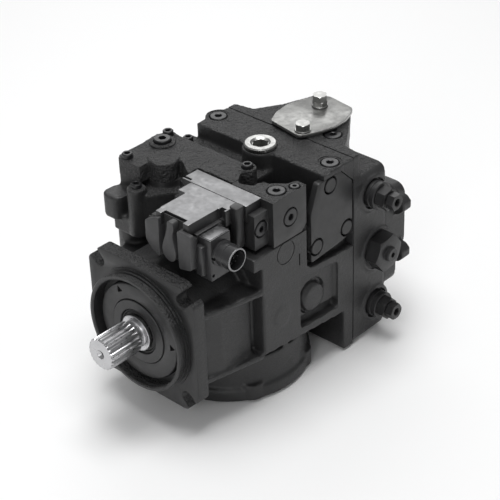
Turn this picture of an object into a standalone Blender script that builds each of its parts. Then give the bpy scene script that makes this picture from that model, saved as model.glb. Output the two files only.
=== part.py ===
"""Axial piston pump, variable displacement, closed circuit, with an electric displacement control.

Frame: the origin is on the shaft's axis, in the face of the mounting flange. +Y runs from the
flange to the end cap, +X is the side of the valve cartridges and +Z is up. Sizes are millimetres
and the meshes are made in metres.
"""
import math

import bmesh
import bpy
from mathutils import Vector

MM = 0.001
GAP = 0.3

# Mounting flange and casting
FLANGE_HALF = 73.0
FLANGE_CHAMFER = 17.5
FLANGE_THICKNESS = 15.0
FLANGE_BOLT = 57.25
SLOT_WIDTH = 14.3
PILOT_R = 63.5
PILOT_DEPTH = 12.7
BODY_HALF = 87.0
BASE_Z = -101.0
CAVITY_R = 64.0
HOUSING_END = 219.0
RIDGE_TOP = 128.8
RIDGE_FRONT = 174.0
COVER_SEAT = 113.0
VALLEY_FLOOR = 110.5
SHELF_TOP = 105.0
COVER_TOP = 131.0
BOTTOM_Y = 122.0

# End cap and rear cover
CAP_FRONT = 220.4
CAP_REAR = 271.0
REAR_END = 309.0
REAR_LOW = 299.0
PAD_TOP = 131.0

# Rotating group
TILT_Y = 106.0
SWASH_FACE = 96.0
SWASH_BACK = 84.0
CRADLE_R = 46.0
CRADLE_X = (-42.0, 26.0)
CRADLE_WIDTH = 16.0
PISTONS = 9
BALL_CIRCLE = 40.85
BORE_CIRCLE = 40.0
BALL_R = 7.5
PISTON_R = 9.8
BORE_R = 11.25
BLOCK_FRONT = 126.0
BLOCK_REAR = 209.7
SPLINE_TEETH = 21
SPLINE_R = 17.2
SHAFT_TIP = -57.0

# Servo, feedback and control
SERVO = (-84.0, 76.0)
SERVO_R = 15.0
LINK_PIVOT_Z = 100.0
LINK_PIN_Z = 52.0
SPOOL_Y = 124.0
SPOOL_Z = 105.0
CONNECTOR = (42.0, 98.6)

# Valve cartridges on the right side: the y and z of each
UPPER_VALVE = (250.5, 75.0)
MIDDLE_VALVE = (259.5, 3.0)
LOWER_VALVE = (256.0, -63.5)

# Charge pump
GEROTOR_Y = (277.0, 293.0)
GEROTOR_LOBES = 6
GEROTOR_OFFSET = 2.5
LOBE_CIRCLE = 24.0
LOBE_R = 7.0

COLOURS = {
    "paint": ((0.012, 0.012, 0.013), 0.42, 0.0),
    "cast": ((0.018, 0.018, 0.019), 0.6, 0.0),
    "steel": ((0.55, 0.55, 0.56), 0.28, 1.0),
    "zinc": ((0.72, 0.72, 0.7), 0.32, 1.0),
    "machined": ((0.58, 0.58, 0.58), 0.4, 1.0),
    "bronze": ((0.55, 0.33, 0.14), 0.35, 1.0),
    "plastic": ((0.01, 0.01, 0.011), 0.5, 0.0),
    "rubber": ((0.008, 0.008, 0.008), 0.75, 0.0),
    "gasket": ((0.05, 0.05, 0.055), 0.8, 0.0),
}
PLANES = {"X": (1, 2, 0), "Y": (0, 2, 1), "Z": (0, 1, 2)}


# ---------------------------------------------------------------- tools

def point(axis, u, v, w):
    """The point at (u, v) in the plane across an axis, w along it."""
    a, b, c = PLANES[axis]
    place = [0.0, 0.0, 0.0]
    place[a] = u
    place[b] = v
    place[c] = w
    return Vector(place) * MM


def as_object(mesh):
    bmesh.ops.recalc_face_normals(mesh, faces=mesh.faces)
    data = bpy.data.meshes.new("solid")
    mesh.to_mesh(data)
    mesh.free()
    solid = bpy.data.objects.new("solid", data)
    bpy.context.scene.collection.objects.link(solid)
    return solid


def loft(axis, loops):
    """Closed solid through loops of (u, v, w) points, all of the same number."""
    mesh = bmesh.new()
    rings = [[mesh.verts.new(point(axis, *p)) for p in loop] for loop in loops]
    count = len(rings[0])
    for ring, after in zip(rings, rings[1:]):
        for i in range(count):
            j = (i + 1) % count
            mesh.faces.new((ring[i], ring[j], after[j], after[i]))
    mesh.faces.new(rings[0])
    mesh.faces.new(rings[-1])
    return as_object(mesh)


def prism(axis, outline, low, high):
    return loft(axis, [[(u, v, w) for u, v in outline] for w in (low, high)])


def box(low, high):
    outline = rectangle(low[0], low[1], high[0], high[1])
    return prism("Z", outline, low[2], high[2])


def rectangle(u0, v0, u1, v1):
    return [(u0, v0), (u1, v0), (u1, v1), (u0, v1)]


def arc(centre, radius, start, end, steps):
    """Points along an arc, angles in degrees."""
    angles = [math.radians(start + (end - start) * i / steps) for i in range(steps + 1)]
    return [(centre[0] + radius * math.cos(a), centre[1] + radius * math.sin(a)) for a in angles]


def rounded(u0, v0, u1, v1, radius, steps=4):
    """A rectangle with round corners."""
    corners = ((u1, v1, -1, -1, 0), (u0, v1, 1, -1, 90), (u0, v0, 1, 1, 180), (u1, v0, -1, 1, 270))
    outline = []
    for u, v, du, dv, start in corners:
        centre = (u + du * radius, v + dv * radius)
        outline += arc(centre, radius, start, start + 90, steps)
    return outline


def turned(axis, centre, profile, segments=24, phase=0.0):
    """Solid of revolution: (radius, along) points, from the axis to the axis, or a ring."""
    mesh = bmesh.new()
    rings = []
    for radius, along in profile:
        if radius < 1e-6:
            rings.append([mesh.verts.new(point(axis, centre[0], centre[1], along))])
            continue
        ring = []
        for i in range(segments):
            a = 2 * math.pi * i / segments + math.radians(phase)
            u = centre[0] + radius * math.cos(a)
            v = centre[1] + radius * math.sin(a)
            ring.append(mesh.verts.new(point(axis, u, v, along)))
        rings.append(ring)
    solid_ends = len(rings[0]) == 1
    pairs = list(zip(rings, rings[1:]))
    if not solid_ends:
        pairs.append((rings[-1], rings[0]))
    for ring, after in pairs:
        for i in range(segments):
            j = (i + 1) % segments
            corners = [ring[i % len(ring)], ring[j % len(ring)]]
            corners += [after[j % len(after)], after[i % len(after)]]
            mesh.faces.new(list(dict.fromkeys(corners)))
    if solid_ends:
        bmesh.ops.dissolve_limit(mesh, angle_limit=0.001, verts=mesh.verts, edges=mesh.edges)
    return as_object(mesh)


def rod(axis, centre, radius, low, high, segments=24, phase=0.0):
    outline = arc(centre, radius, phase, phase + 360, segments)[:-1]
    return prism(axis, outline, low, high)


def tube(axis, centre, inner, outer, low, high, segments=32):
    profile = [(inner, low), (outer, low), (outer, high), (inner, high)]
    return turned(axis, centre, profile, segments)


def combine(base, tools, operation):
    """Apply one Boolean of the base with each tool, then drop the tools."""
    for tool in tools:
        step = base.modifiers.new(operation, "BOOLEAN")
        step.operation = operation
        step.solver = "EXACT"
        step.object = tool
    bpy.context.view_layer.update()
    graph = bpy.context.evaluated_depsgraph_get()
    result = bpy.data.meshes.new_from_object(base.evaluated_get(graph))
    base.modifiers.clear()
    base.data = result
    for tool in tools:
        bpy.data.objects.remove(tool)
    return base


def unite(base, *tools):
    return combine(base, tools, "UNION")


def cut(base, *tools):
    return combine(base, tools, "DIFFERENCE")


def keep(base, *tools):
    return combine(base, tools, "INTERSECT")


def material(kind):
    found = bpy.data.materials.get(kind)
    if found:
        return found
    made = bpy.data.materials.new(kind)
    made.use_nodes = True
    colour, roughness, metallic = COLOURS[kind]
    shader = made.node_tree.nodes["Principled BSDF"]
    shader.inputs["Base Color"].default_value = (*colour, 1.0)
    shader.inputs["Roughness"].default_value = roughness
    shader.inputs["Metallic"].default_value = metallic
    made.diffuse_color = (*colour, 1.0)
    return made


def node(name, solid, kind, pivot=(0.0, 0.0, 0.0)):
    """Name a finished solid, give it its material and put its origin on its joint's axis."""
    origin = Vector(pivot) * MM
    for vertex in solid.data.vertices:
        vertex.co -= origin
    solid.location = origin
    solid.name = name
    solid.data.name = name
    solid.data.materials.clear()
    finish = material(kind).copy()
    finish.name = name + "_" + kind
    solid.data.materials.append(finish)
    solid.data.shade_smooth()
    solid.data.set_sharp_from_angle(angle=math.radians(32))
    return solid


def span(face, depth, out):
    """The two ends, low first, of a stretch that goes out of a face by a depth."""
    return sorted((face, face + out * depth))


def screw_head(axis, centre, seat, out, radius, height):
    """A socket screw's head, sunk 1 mm into its seat so that it joins the piece that it clamps."""
    head = rod(axis, centre, radius, *span(seat - out, height + 1.0, out), 10)
    socket = span(seat + out * height * 0.4, height, out)
    return cut(head, rod(axis, centre, radius * 0.55, *socket, 6))


def plug_mark(axis, centre, face, out, radius):
    """Cutters for a flush plug: the groove round it and its hexagon socket."""
    low, high = span(face - out * 1.6, 4.0, out)
    groove = tube(axis, centre, radius, radius + 1.0, low, high, 14)
    return [groove, rod(axis, centre, radius * 0.45, *span(face - out * 4.0, 6.0, out), 6, 30)]


# ---------------------------------------------------------------- the places of the fasteners

COVER_SCREWS = [(-86.0, 73.5), (-88.5, 133.5), (21.6, 134.3)]
VALLEY_SCREW = (-90.0, 163.0)
LUG = (-60.6, 59.6)
LUG_TOP = 112.0
COVER_BOSS = (-55.0, 94.0)
COVER_PLUG = (-80.0, 117.0)
CAP_BOLTS = [(-72.0, -84.0), (-72.0, 84.0), (72.0, -84.0), (72.0, 84.0),
             (-26.0, -84.0), (26.0, -84.0)]
SIDE_SCREWS = [(184.5, 113.0), (209.8, 52.0), (163.2, 51.0)]
FILL_PLUG = (-1.0, 178.0)
PORT_MIDDLE = (1.2, 254.5)
PORT_BOLTS = [(17.0, 222.5, 8.8), (-5.0, 275.0, 13.6)]
REAR_SCREWS = [(-66.0, 44.0), (66.0, 44.0), (-66.0, -44.0), (66.0, -44.0)]
BEARING_COVER_SCREWS = [math.radians(a) for a in (121.0, 1.0, -119.0)]
COVER_OUTLINE = [(-92, 66.6), (-61.5, 66.8), (-62, 82), (-55, 94), (-48, 107), (-35, 101),
                 (-25, 95), (-16.5, 90), (-16.5, 103.8), (30, 103.8), (30, 113), (25, 120),
                 (21, 128), (13, 130), (12, 139.5), (-80, 140), (-90, 142), (-99, 127), (-96, 99),
                 (-97, 72.3)]


# ---------------------------------------------------------------- casings and covers

def flange():
    reach = FLANGE_HALF
    near = FLANGE_HALF - FLANGE_CHAMFER
    outline = [(reach, -near), (reach, near), (near, reach), (-near, reach),
               (-reach, near), (-reach, -near), (-near, -reach), (near, -reach)]
    plate = prism("Y", outline, 0.0, FLANGE_THICKNESS)
    cutters = []
    half = SLOT_WIDTH / 2
    for k in range(4):
        a = math.radians(45 + 90 * k)
        along = Vector((math.cos(a), math.sin(a)))
        across = Vector((-along.y, along.x))
        centre = along * FLANGE_BOLT * math.sqrt(2)
        inner = [centre + across * half * math.sin(t) - along * half * math.cos(t)
                 for t in [math.radians(-90 + 30 * i) for i in range(7)]]
        outer = [centre + along * 30 + across * half, centre + along * 30 - across * half]
        cutters.append(prism("Y", [tuple(p) for p in inner + outer], -1.0, FLANGE_THICKNESS + 1))
    return cut(plate, *cutters)


def side_outline():
    """The casting's slab in (y, z), the same on both sides."""
    return [(82, 66), (82, -38), (198, -49), (HOUSING_END, -49), (HOUSING_END, RIDGE_TOP),
            (RIDGE_FRONT, RIDGE_TOP), (RIDGE_FRONT, 80), (70.4, 80), (70.4, 66)]


def cavity_cutters():
    bore = rod("Y", (0, 0), CAVITY_R, 36.0, HOUSING_END + 1, 28)
    lever_way = box((-75, 60, -18), (-50, 100, 18))
    servo_bore = rod("Z", SERVO, SERVO_R + 0.6, -52.0, 52.0, 14)
    horn_pocket = box((-54, 82, 40), (-29, 134, 60))
    swing = [(82, 56), (130, 56), (130, 66), (115, 108), (97, 108), (82, 66)]
    link_pocket = prism("X", swing, -51.5, -41.0)
    horn_way = box((-41.2, 73, 40), (-31.8, 90, 54.8))
    pivot = rod("X", (TILT_Y, LINK_PIVOT_Z), 3.7, -60.0, -24.0, 8)
    return [bore, lever_way, servo_bore, horn_pocket, link_pocket, horn_way, pivot]


def front_cutters():
    recess = rod("Y", (0, 0), 59.0, -PILOT_DEPTH - 1, 2.0, 28)
    carrier = rod("Y", (0, 0), 35.4, 1.0, 8.0, 22)
    neck = rod("Y", (0, 0), 30.0, 7.0, 13.0, 16)
    race = rod("Y", (0, 0), 38.4, 11.6, 37.0, 22)
    return [recess, carrier, neck, race]


def saddles():
    """Two seats for the cradle bearings, standing on the front wall."""
    made = []
    for x in CRADLE_X:
        low, high = x - 1.0, x + CRADLE_WIDTH + 1.0
        seat = box((low, 34.0, -45.0), (high, 67.0, 45.0))
        made.append(cut(seat, rod("X", (TILT_Y, 0), 49.8, low - 1, high + 1, 36)))
    return made


def control_seat():
    """The raised part of the casting that carries the top cover and the control."""
    shelf = [(-97, 70.4), (-77, 70.4), (-72, 60), (-50, 60), (-32, 86), (-18, 88), (-18, 70.4),
             (19.4, 70.4), (19.4, 176), (-97, 176)]
    seat = [(-97, 70.4), (-71, 70.4), (-71, 88)]
    seat += arc(COVER_BOSS, 16.4, 195, 330, 8)
    seat += [(-37, 97), (-27, 92), (-18, 86), (-18, 70.4), (19.4, 70.4), (19.4, 143), (-97, 143)]
    valley = box((-97, 120, 90), (19.4, 176, VALLEY_FLOOR))
    return unite(prism("Z", shelf, 60.0, SHELF_TOP), prism("Z", seat, 90.0, COVER_SEAT), valley)


def housing():
    neck = rod("Y", (0, 0), 70.0, 10.0, 92.0, 28)
    barrel = rod("Y", (0, 0), 80.0, 80.0, HOUSING_END, 28)
    pilot = rod("Y", (0, 0), PILOT_R, -PILOT_DEPTH, 5.0, 28)
    slab = prism("X", side_outline(), -BODY_HALF, BODY_HALF)
    foot = rod("Z", (0, BOTTOM_Y), 80.5, -98.0, -50.0, 28)
    foot_rim = rod("Z", (0, BOTTOM_Y), 84.0, -98.0, -84.0, 28)
    rear_flange = box((-BODY_HALF, 204.8, -98.0), (BODY_HALF, HOUSING_END, -48.0))
    servo = rod("Z", SERVO, 21.0, -72.0, 70.0, 16)
    ribs = []
    for low in (34.0, -42.0):
        for side in (-1, 1):
            rib = [(side * 55, 12), (side * 72.5, 12), (side * BODY_HALF, 82), (side * 55, 82)]
            ribs.append(prism("Z", rib, low, low + 6))
    plug_boss = rod("Z", FILL_PLUG, 19.0, 100.0, RIDGE_TOP + 0.4, 16)
    lug = rod("Z", LUG, 9.6, 58.0, LUG_TOP, 12)
    ear = prism("Z", rounded(-101, 46, -76, 72, 9), 72.0, 97.0)
    web = box((-90, 52, 56), (-62, 72, 76))
    spot = rod("X", (160, -9), 16.0, 78.0, 84.5, 16)
    solid = unite(flange(), pilot, neck, barrel, slab, control_seat(), foot, foot_rim,
                  rear_flange, servo, *ribs, plug_boss, lug, ear, web)
    pocket = prism("X", [(137, 28), (195, 18), (195, -38), (137, -34)], 81.0, 90.0)
    solid = cut(solid, *cavity_cutters(), *front_cutters(), pocket)
    lug_head = screw_head("Z", LUG, LUG_TOP, 1, 5.6, 5.0)
    valley_head = screw_head("Z", VALLEY_SCREW, VALLEY_FLOOR, 1, 5.4, 5.5)
    solid = unite(solid, spot, lug_head, valley_head, *saddles())
    return cut(solid, *housing_fits())


def housing_fits():
    """Room for the covers and plugs that seat in the casting."""
    valley = box((19.0, 147.3, 80), (88, RIDGE_FRONT, 150))
    plate = prism("X", side_cover_outline(GAP), 79.0, 90.0)
    fill = rod("Z", FILL_PLUG, 14.4, 108.0, 132.0, 14)
    plugs = []
    for place in ((-80, 199), (74, 198)):
        plugs += plug_mark("Z", place, RIDGE_TOP, 1, 9.0)
    case = tube("X", (115.6, 68.6), 12.0, 13.0, 85.5, 90.0, 16)
    return [valley, plate, fill, case] + plugs


def side_cover_outline(grow=0.0):
    """The plate on the right side, with a lobe cut round each of its three screws."""
    g = grow
    return [(154.5 - g, 92), (166 - g, 122 + g), (200, 122 + g), (218.2 + g, 104),
            (218.2 + g, 44 - g), (205, 40 - g), (154.5 - g, 36 - g)]


def side_cover():
    """The plate with its three recessed screws."""
    plate = prism("X", side_cover_outline(), 79.4, 86.4)
    for place in SIDE_SCREWS:
        well = rod("X", place, 9.4, 82.0, 90.0, 12)
        plate = unite(cut(plate, well), rod("X", place, 7.6, 80.0, 87.2, 12))
    return plate


def end_cap():
    body = prism("Y", rounded(-BODY_HALF, -100.0, BODY_HALF, 101.0, 9), CAP_FRONT, CAP_REAR)
    crown = [(-86, CAP_FRONT), (86, CAP_FRONT), (86, 230.5), (62, 235), (56, 246), (46, 262),
             (36, 292), (-33, 300), (-46, 262), (-56, 246), (-62, 235), (-86, 230.5)]
    crest = prism("Z", crown, 90.0, RIDGE_TOP)
    pad = keep(prism("Z", port_outline(0.95), 120.0, PAD_TOP),
               box((-60, CAP_FRONT, 110), (60, 310, 140)))
    rear = prism("Y", rounded(-84, -62, 84, 66, 14), CAP_REAR - 2, 276.4)
    heads = [screw_head("Y", p, CAP_REAR, 1, 8.0, 8.0) for p in CAP_BOLTS]
    solid = unite(body, crest, pad, rear, *heads)
    shaft_way = rod("Y", (0, 0), 16.0, CAP_FRONT - 1, 278.0, 16)
    bearing = rod("Y", (0, 0), 22.4, CAP_FRONT - 1, 241.0, 20)
    kidneys = [port_way(side) for side in (-1, 1)]
    port = rod("Z", (0, 252), 12.7, 100.0, PAD_TOP + 1, 14)
    return cut(solid, shaft_way, bearing, port, *kidneys, *end_cap_fits())


def port_way(side):
    """One of the two kidney ports that the cylinder block runs over."""
    outer = arc((0, 0), 47.0, -60, 60, 8)
    inner = arc((0, 0), 34.0, 60, -60, 8)
    outline = [(side * u, v) for u, v in outer + inner]
    return prism("Y", outline, CAP_FRONT - 1, 240.0)


def end_cap_fits():
    cutters = []
    for valve, reach in ((UPPER_VALVE, 20.0), (MIDDLE_VALVE, 52.0), (LOWER_VALVE, 20.0)):
        cutters.append(rod("X", valve, 12.0, reach, 90.0, 14))
    for valve in (UPPER_VALVE, LOWER_VALVE):
        cutters.append(rod("X", valve, 17.4, 85.0, 90.0, 16))
    return cutters + plug_mark("Z", (39, 244), RIDGE_TOP, 1, 9.0)


def port_outline(share=1.0):
    """The port cover's outline, two bulging sides and two ends, scaled about its middle."""
    x, y = PORT_MIDDLE
    corners = [(-23.5, 218.5), (18.5, 211.5), (23.8, 215.5), (32, 232), (36.9, 251.7), (35, 270),
               (28.8, 287.5), (24.1, 293.3), (-11.6, 298.4), (-26.6, 283.6), (-34.2, 257.7),
               (-31.6, 236)]
    return [(x + share * (u - x), y + share * (v - y)) for u, v in corners]


def rear_cover():
    """The charge pump's housing and blanked drive pad."""
    low = 276.8
    body = prism("Y", rounded(-84, -58, 84, 62, 14), low, 296.0)
    pad = prism("Y", rounded(-84, -20, 84, 58, 12), 290.0, REAR_END)
    lower = prism("Y", rounded(-74, -58, 74, 0, 12), 290.0, REAR_LOW)
    ears = []
    for side in (-1, 1):
        for z in (41.0, -18.0):
            outline = [(side * 60, z - 22), (side * 92, z - 9), (side * 97.5, z - 3),
                       (side * 97.5, z + 5), (side * 92, z + 10), (side * 60, z + 18)]
            ears.append(prism("Y", outline, 289.0, 303.0))
    heads = [screw_head("Y", (u, v), REAR_END if v > 0 else REAR_LOW, 1, 7.0, 7.0)
             for u, v in REAR_SCREWS]
    solid = unite(body, pad, lower, *ears, *heads)
    chamber = rod("Y", (GEROTOR_OFFSET, 0), 31.6, low - 1, GEROTOR_Y[1] + 0.4, 22)
    return cut(solid, chamber)


def end_cap_gasket():
    plate = prism("Y", rounded(-86.5, -48.0, 86.5, 100.0, 4), 219.3, 220.1)
    return cut(plate, rod("Y", (0, 0), CAVITY_R, 218.0, 222.0, 22))


def top_cover():
    plate = prism("Z", COVER_OUTLINE, COVER_SEAT + GAP, COVER_TOP)
    boss = rod("Z", COVER_BOSS, 15.6, COVER_SEAT + GAP, COVER_TOP + 2.0, 18)
    plug_seat = rod("Z", COVER_PLUG, 13.6, COVER_TOP - 2, COVER_TOP + 2.6, 14)
    plug = rod("Z", COVER_PLUG, 8.8, COVER_TOP, COVER_TOP + 6.0, 12)
    lug = rod("Z", COVER_SCREWS[2], 8.0, COVER_SEAT + GAP, COVER_TOP + 1.2, 12)
    heads = [screw_head("Z", p, COVER_TOP, 1, 5.6, 5.5) for p in COVER_SCREWS]
    solid = unite(plate, boss, plug_seat, plug, lug, *heads)
    return cut(solid, rod("Z", COVER_PLUG, 4.0, COVER_TOP + 3, COVER_TOP + 7, 6))


def bottom_cover():
    disc = rod("Z", (0, BOTTOM_Y), 82.0, BASE_Z, -98.3, 28)
    sockets = []
    for k in range(6):
        a = math.radians(30 + 60 * k)
        place = (72.0 * math.cos(a), BOTTOM_Y + 72.0 * math.sin(a))
        sockets.append(rod("Z", place, 2.6, BASE_Z - 1, BASE_Z + 1.5, 6))
    return cut(disc, *sockets)


def bearing_cover():
    solid = tube("Y", (0, 0), 35.5, 53.0, -6.0, 1.7, 28)
    screws = [rod("Y", (44.0 * math.cos(a), 44.0 * math.sin(a)), 3.6, -7.0, -3.5, 3, 30)
              for a in BEARING_COVER_SCREWS]
    return cut(solid, *screws)


def seal_carrier():
    profile = [(24.4, -7.0), (34.0, -7.0), (35.0, -6.2), (35.0, 7.6), (31.0, 7.6), (24.4, 5.0)]
    return turned("Y", (0, 0), profile, 28)


def shaft_seal():
    profile = [(18.0, -4.5), (24.0, -5.5), (24.0, 4.5), (21.0, 4.5), (21.0, -2.0), (18.0, 1.0)]
    return turned("Y", (0, 0), profile, 22)


def fill_plug():
    body = rod("Z", FILL_PLUG, 14.0, 109.0, RIDGE_TOP + 2.6, 16)
    rim = turned("Z", FILL_PLUG, [(0, RIDGE_TOP + 0.8), (16.8, RIDGE_TOP + 0.8),
                                    (16.8, 133.0), (15.8, 134.0), (0, 134.0)], 22)
    return cut(unite(body, rim), rod("Z", FILL_PLUG, 8.4, 122.0, 136.0, 6, 10))


def port_cover():
    """The shipping plate over the top port, with its two bolts."""
    top = PAD_TOP + 3.8
    plate = prism("Z", port_outline(), PAD_TOP + GAP, top)
    bolts = []
    for x, y, height in PORT_BOLTS:
        bolts.append(rod("Z", (x, y), 8.4, top - 1.0, top + height - 6.0, 12))
        bolts.append(rod("Z", (x, y), 8.0, top + height - 6.4, top + height, 6, 14))
    return unite(plate, *bolts)


# ---------------------------------------------------------------- displacement control

def control_body():
    main = box((31.0, 99.0, 81.0), (BODY_HALF, 147.0, COVER_TOP))
    step = box((50.0, 80.0, 84.0), (80.0, 102.0, 122.0))
    plate = box((-14.6, 79.2, COVER_SEAT + GAP), (71.0, 101.0, COVER_TOP))
    foot = box((19.8, 70.4, 81.0), (54.2, 103.5, COVER_SEAT + 1))
    solid = unite(main, step, plate, foot)
    hollow = [(30, 112), (35.8, 106.9), (50.5, 112.9), (49, 120), (57, 124), (63, 130), (72.5, 137),
              (74, 144.5), (80, 148), (30, 148)]
    solid = cut(solid, prism("X", [(139, 80), (148, 89), (148, 80)], 60.0, 90.0),
                prism("Z", hollow, 113.6, 140.0))
    bore = rod("X", (SPOOL_Y, SPOOL_Z), 6.8, 24.0, 79.0, 12)
    marks = plug_mark("X", (SPOOL_Y, SPOOL_Z), BODY_HALF, 1, 9.0)
    marks += plug_mark("X", (89.6, 104.8), 80.0, 1, 8.0)
    marks += plug_mark("Z", (72.8, 120.0), COVER_TOP, 1, 9.0)
    marks += plug_mark("Z", (80.4, 137.6), COVER_TOP, 1, 5.0)
    lug = rod("Z", COVER_SCREWS[2], 8.6, COVER_SEAT - 0.2, 134.0, 12)
    cover = prism("Z", [(-17, 103.6), (30.6, 103.6), (30.6, 148), (-17, 148)], 112.9, 134.0)
    return cut(solid, bore, lug, cover, *marks)


def torque_motor_body():
    """The metal block, with the head that reaches back to the control and the bar on its side."""
    block = box((8.5, 24.0, 72.0), (52.8, 69.8, COVER_TOP))
    base = box((-4.0, 26.0, 71.0), (57.0, 69.8, 119.0))
    head = box((8.5, 60.0, 114.0), (52.8, 78.6, COVER_TOP))
    ear = box((-1.5, 60.6, 114.0), (9.0, 78.6, COVER_TOP))
    bar = prism("Z", rounded(58.6, 67.0, 70.4, 78.6, 4.0), 88.0, COVER_TOP + 1.4)
    neck = box((50.0, 60.0, 114.0), (62.0, 78.6, COVER_TOP))
    tabs = [box((low, 19.4, 119.0), (low + 7.2, 26.0, COVER_TOP)) for low in (9.4, 45.6)]
    return unite(block, base, head, ear, neck, bar, *tabs)


def torque_motor_cover():
    """The moulded front with its three ribs, the middle one keyhole shaped."""
    outline = [(-4, 71), (57, 71), (57, 118.6), (45.2, 118.6), (45.2, 129.4), (17.1, 129.4),
               (17.1, 118.6), (-4, 118.6)]
    plate = prism("Y", outline, 20.4, 23.7)
    left = [(-2.5, 97), (6.9, 87.5), (15.6, 83), (17.2, 117.8), (-1.9, 117.8)]
    middle = [(25, 85), (31, 83.5), (36.5, 87), (38.4, 95), (34.9, 110), (34.9, 116), (37, 121),
              (36.5, 129), (28.5, 129), (27.8, 121), (26.3, 115), (23, 107), (19.5, 97), (20.5, 89)]
    right = [(41.4, 80.5), (58, 84), (59.5, 117.8), (41.0, 117.8)]
    return unite(plate, *[prism("Y", rib, 15.0, 21.0) for rib in (left, middle, right)])


def connector_shell():
    block = box((57.3, 27.5, 72.0), (72.5, 55.0, 117.5))
    flange = box((57.3, 22.0, 78.0), (66.0, 58.0, 110.0))
    barrel = rod("X", CONNECTOR, 12.0, 70.0, 93.0, 16)
    return cut(unite(block, flange, barrel), rod("X", CONNECTOR, 10.0, 80.0, 95.0, 16))


def connector_insert():
    pins = []
    for k in range(6):
        a = math.radians(60 * k)
        place = (CONNECTOR[0] + 5.6 * math.cos(a), CONNECTOR[1] + 5.6 * math.sin(a))
        pins.append(rod("X", place, 1.0, 82.0, 88.0, 6))
    return unite(rod("X", CONNECTOR, 9.6, 80.4, 83.0, 12), *pins)


def control_spool():
    profile = [(0, 38.0), (4.0, 38.0), (4.0, 42.0), (6.0, 42.0), (6.0, 50.0), (3.4, 50.0),
               (3.4, 60.0), (6.0, 60.0), (6.0, 68.0), (4.0, 68.0), (4.0, 75.0), (0, 75.0)]
    return turned("X", (SPOOL_Y, SPOOL_Z), profile, 10)


# ---------------------------------------------------------------- valves in the end cap

def cartridge(valve, tip):
    """The fixed body of a multifunction valve: thread, collar and bored nose."""
    stem = rod("X", valve, 11.6, 22.0, 92.0, 12)
    collar = rod("X", valve, 15.0, 86.0, 99.0, 12)
    nose = rod("X", valve, 12.6, 98.0, tip - 9.0, 6, 15)
    return cut(unite(stem, collar, nose), rod("X", valve, 7.4, 84.0, tip, 10))


def bypass_hex(valve, tip):
    """The adjuster that is turned to open the bypass."""
    stem = rod("X", valve, 6.8, 86.0, tip - 6.0, 10)
    nut = rod("X", valve, 9.2, tip - 8.4, tip, 6, 0)
    return cut(unite(stem, nut), rod("X", valve, 4.4, tip - 5.0, tip + 1, 6, 30))


def charge_relief_valve():
    hexagon = rod("X", MIDDLE_VALVE, 21.4, 87.4, 103.0, 6, 8)
    stem = rod("X", MIDDLE_VALVE, 11.6, 66.0, 90.0, 12)
    nub = rod("X", MIDDLE_VALVE, 8.0, 102.0, 108.0, 12)
    solid = unite(hexagon, stem, nub)
    bore = rod("X", MIDDLE_VALVE, 8.6, 64.0, 80.0, 12)
    return cut(solid, bore, rod("X", MIDDLE_VALVE, 3.0, 104.0, 109.0, 6))


def relief_poppet():
    profile = [(0, 54.0), (3.0, 54.0), (7.8, 61.0), (7.8, 74.0), (0, 74.0)]
    return turned("X", MIDDLE_VALVE, profile, 10)


# ---------------------------------------------------------------- rotating group

def splined_tip():
    outline = []
    step = 360.0 / SPLINE_TEETH
    for k in range(SPLINE_TEETH):
        for share, radius in ((0.0, SPLINE_R), (0.36, SPLINE_R), (0.68, 15.2)):
            a = math.radians(step * (k + share))
            outline.append((radius * math.cos(a), radius * math.sin(a)))
    return prism("Y", outline, SHAFT_TIP, -18.0)


def drive_shaft():
    profile = [(0, -20.0), (13.8, -20.0), (13.8, -10.5), (19.4, -10.5), (19.4, -7.0), (17.5, -7.0),
               (17.5, 10.0), (22.6, 10.0), (22.6, 33.6), (15.0, 40.0), (15.0, 124.0), (13.8, 126.0),
               (13.8, 208.0), (11.8, 212.0), (11.8, 262.0), (9.0, 264.0), (9.0, 291.0), (0, 291.0)]
    solid = unite(turned("Y", (0, 0), profile, 22), splined_tip())
    return cut(solid, turned("Y", (0, 0), [(0, -60.0), (5.0, -60.0), (4.0, -54.0), (0, -50.0)], 12))


def front_bearing_cage():
    """The rollers in their cage, one body because the cage holds them as a set."""
    cage = tube("Y", (0, 0), 25.8, 28.0, 13.0, 33.4, 16)
    rollers = []
    for k in range(12):
        a = math.radians(30 * k)
        rollers.append(rod("Y", (26.9 * math.cos(a), 26.9 * math.sin(a)), 3.9, 14.0, 32.4, 6))
    return unite(cage, *rollers)


def place_on_circle(k, radius=BALL_CIRCLE):
    a = 2 * math.pi * k / PISTONS
    return (radius * math.sin(a), radius * math.cos(a))


def cylinder_block():
    solid = rod("Y", (0, 0), 55.0, BLOCK_FRONT, BLOCK_REAR, 28)
    cutters = [turned("Y", (0, 0), [(0, 120.0), (22.0, 120.0), (22.0, 186.0), (14.3, 186.0),
                                    (14.3, 215.0), (0, 215.0)], 24)]
    for k in range(PISTONS):
        centre = place_on_circle(k, BORE_CIRCLE)
        cutters.append(rod("Y", centre, BORE_R, 120.0, 203.0, 16, 7))
        cutters.append(rod("Y", centre, 5.0, 200.0, 215.0, 8, 3))
    return cut(solid, *cutters)


def ball_guide():
    """Half-ball on the shaft that presses the slipper retainer."""
    ball = 21.2
    dome = [(math.sqrt(ball ** 2 - (y - TILT_Y) ** 2), y) for y in (95.0, 99.0, 103.0, 107.0, 112.0)]
    profile = [(15.6, 93.0), (16.6, 93.0)] + dome + [(19.6, 116.0), (19.6, 132.0), (15.6, 132.0)]
    return turned("Y", (0, 0), profile, 16)


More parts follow.
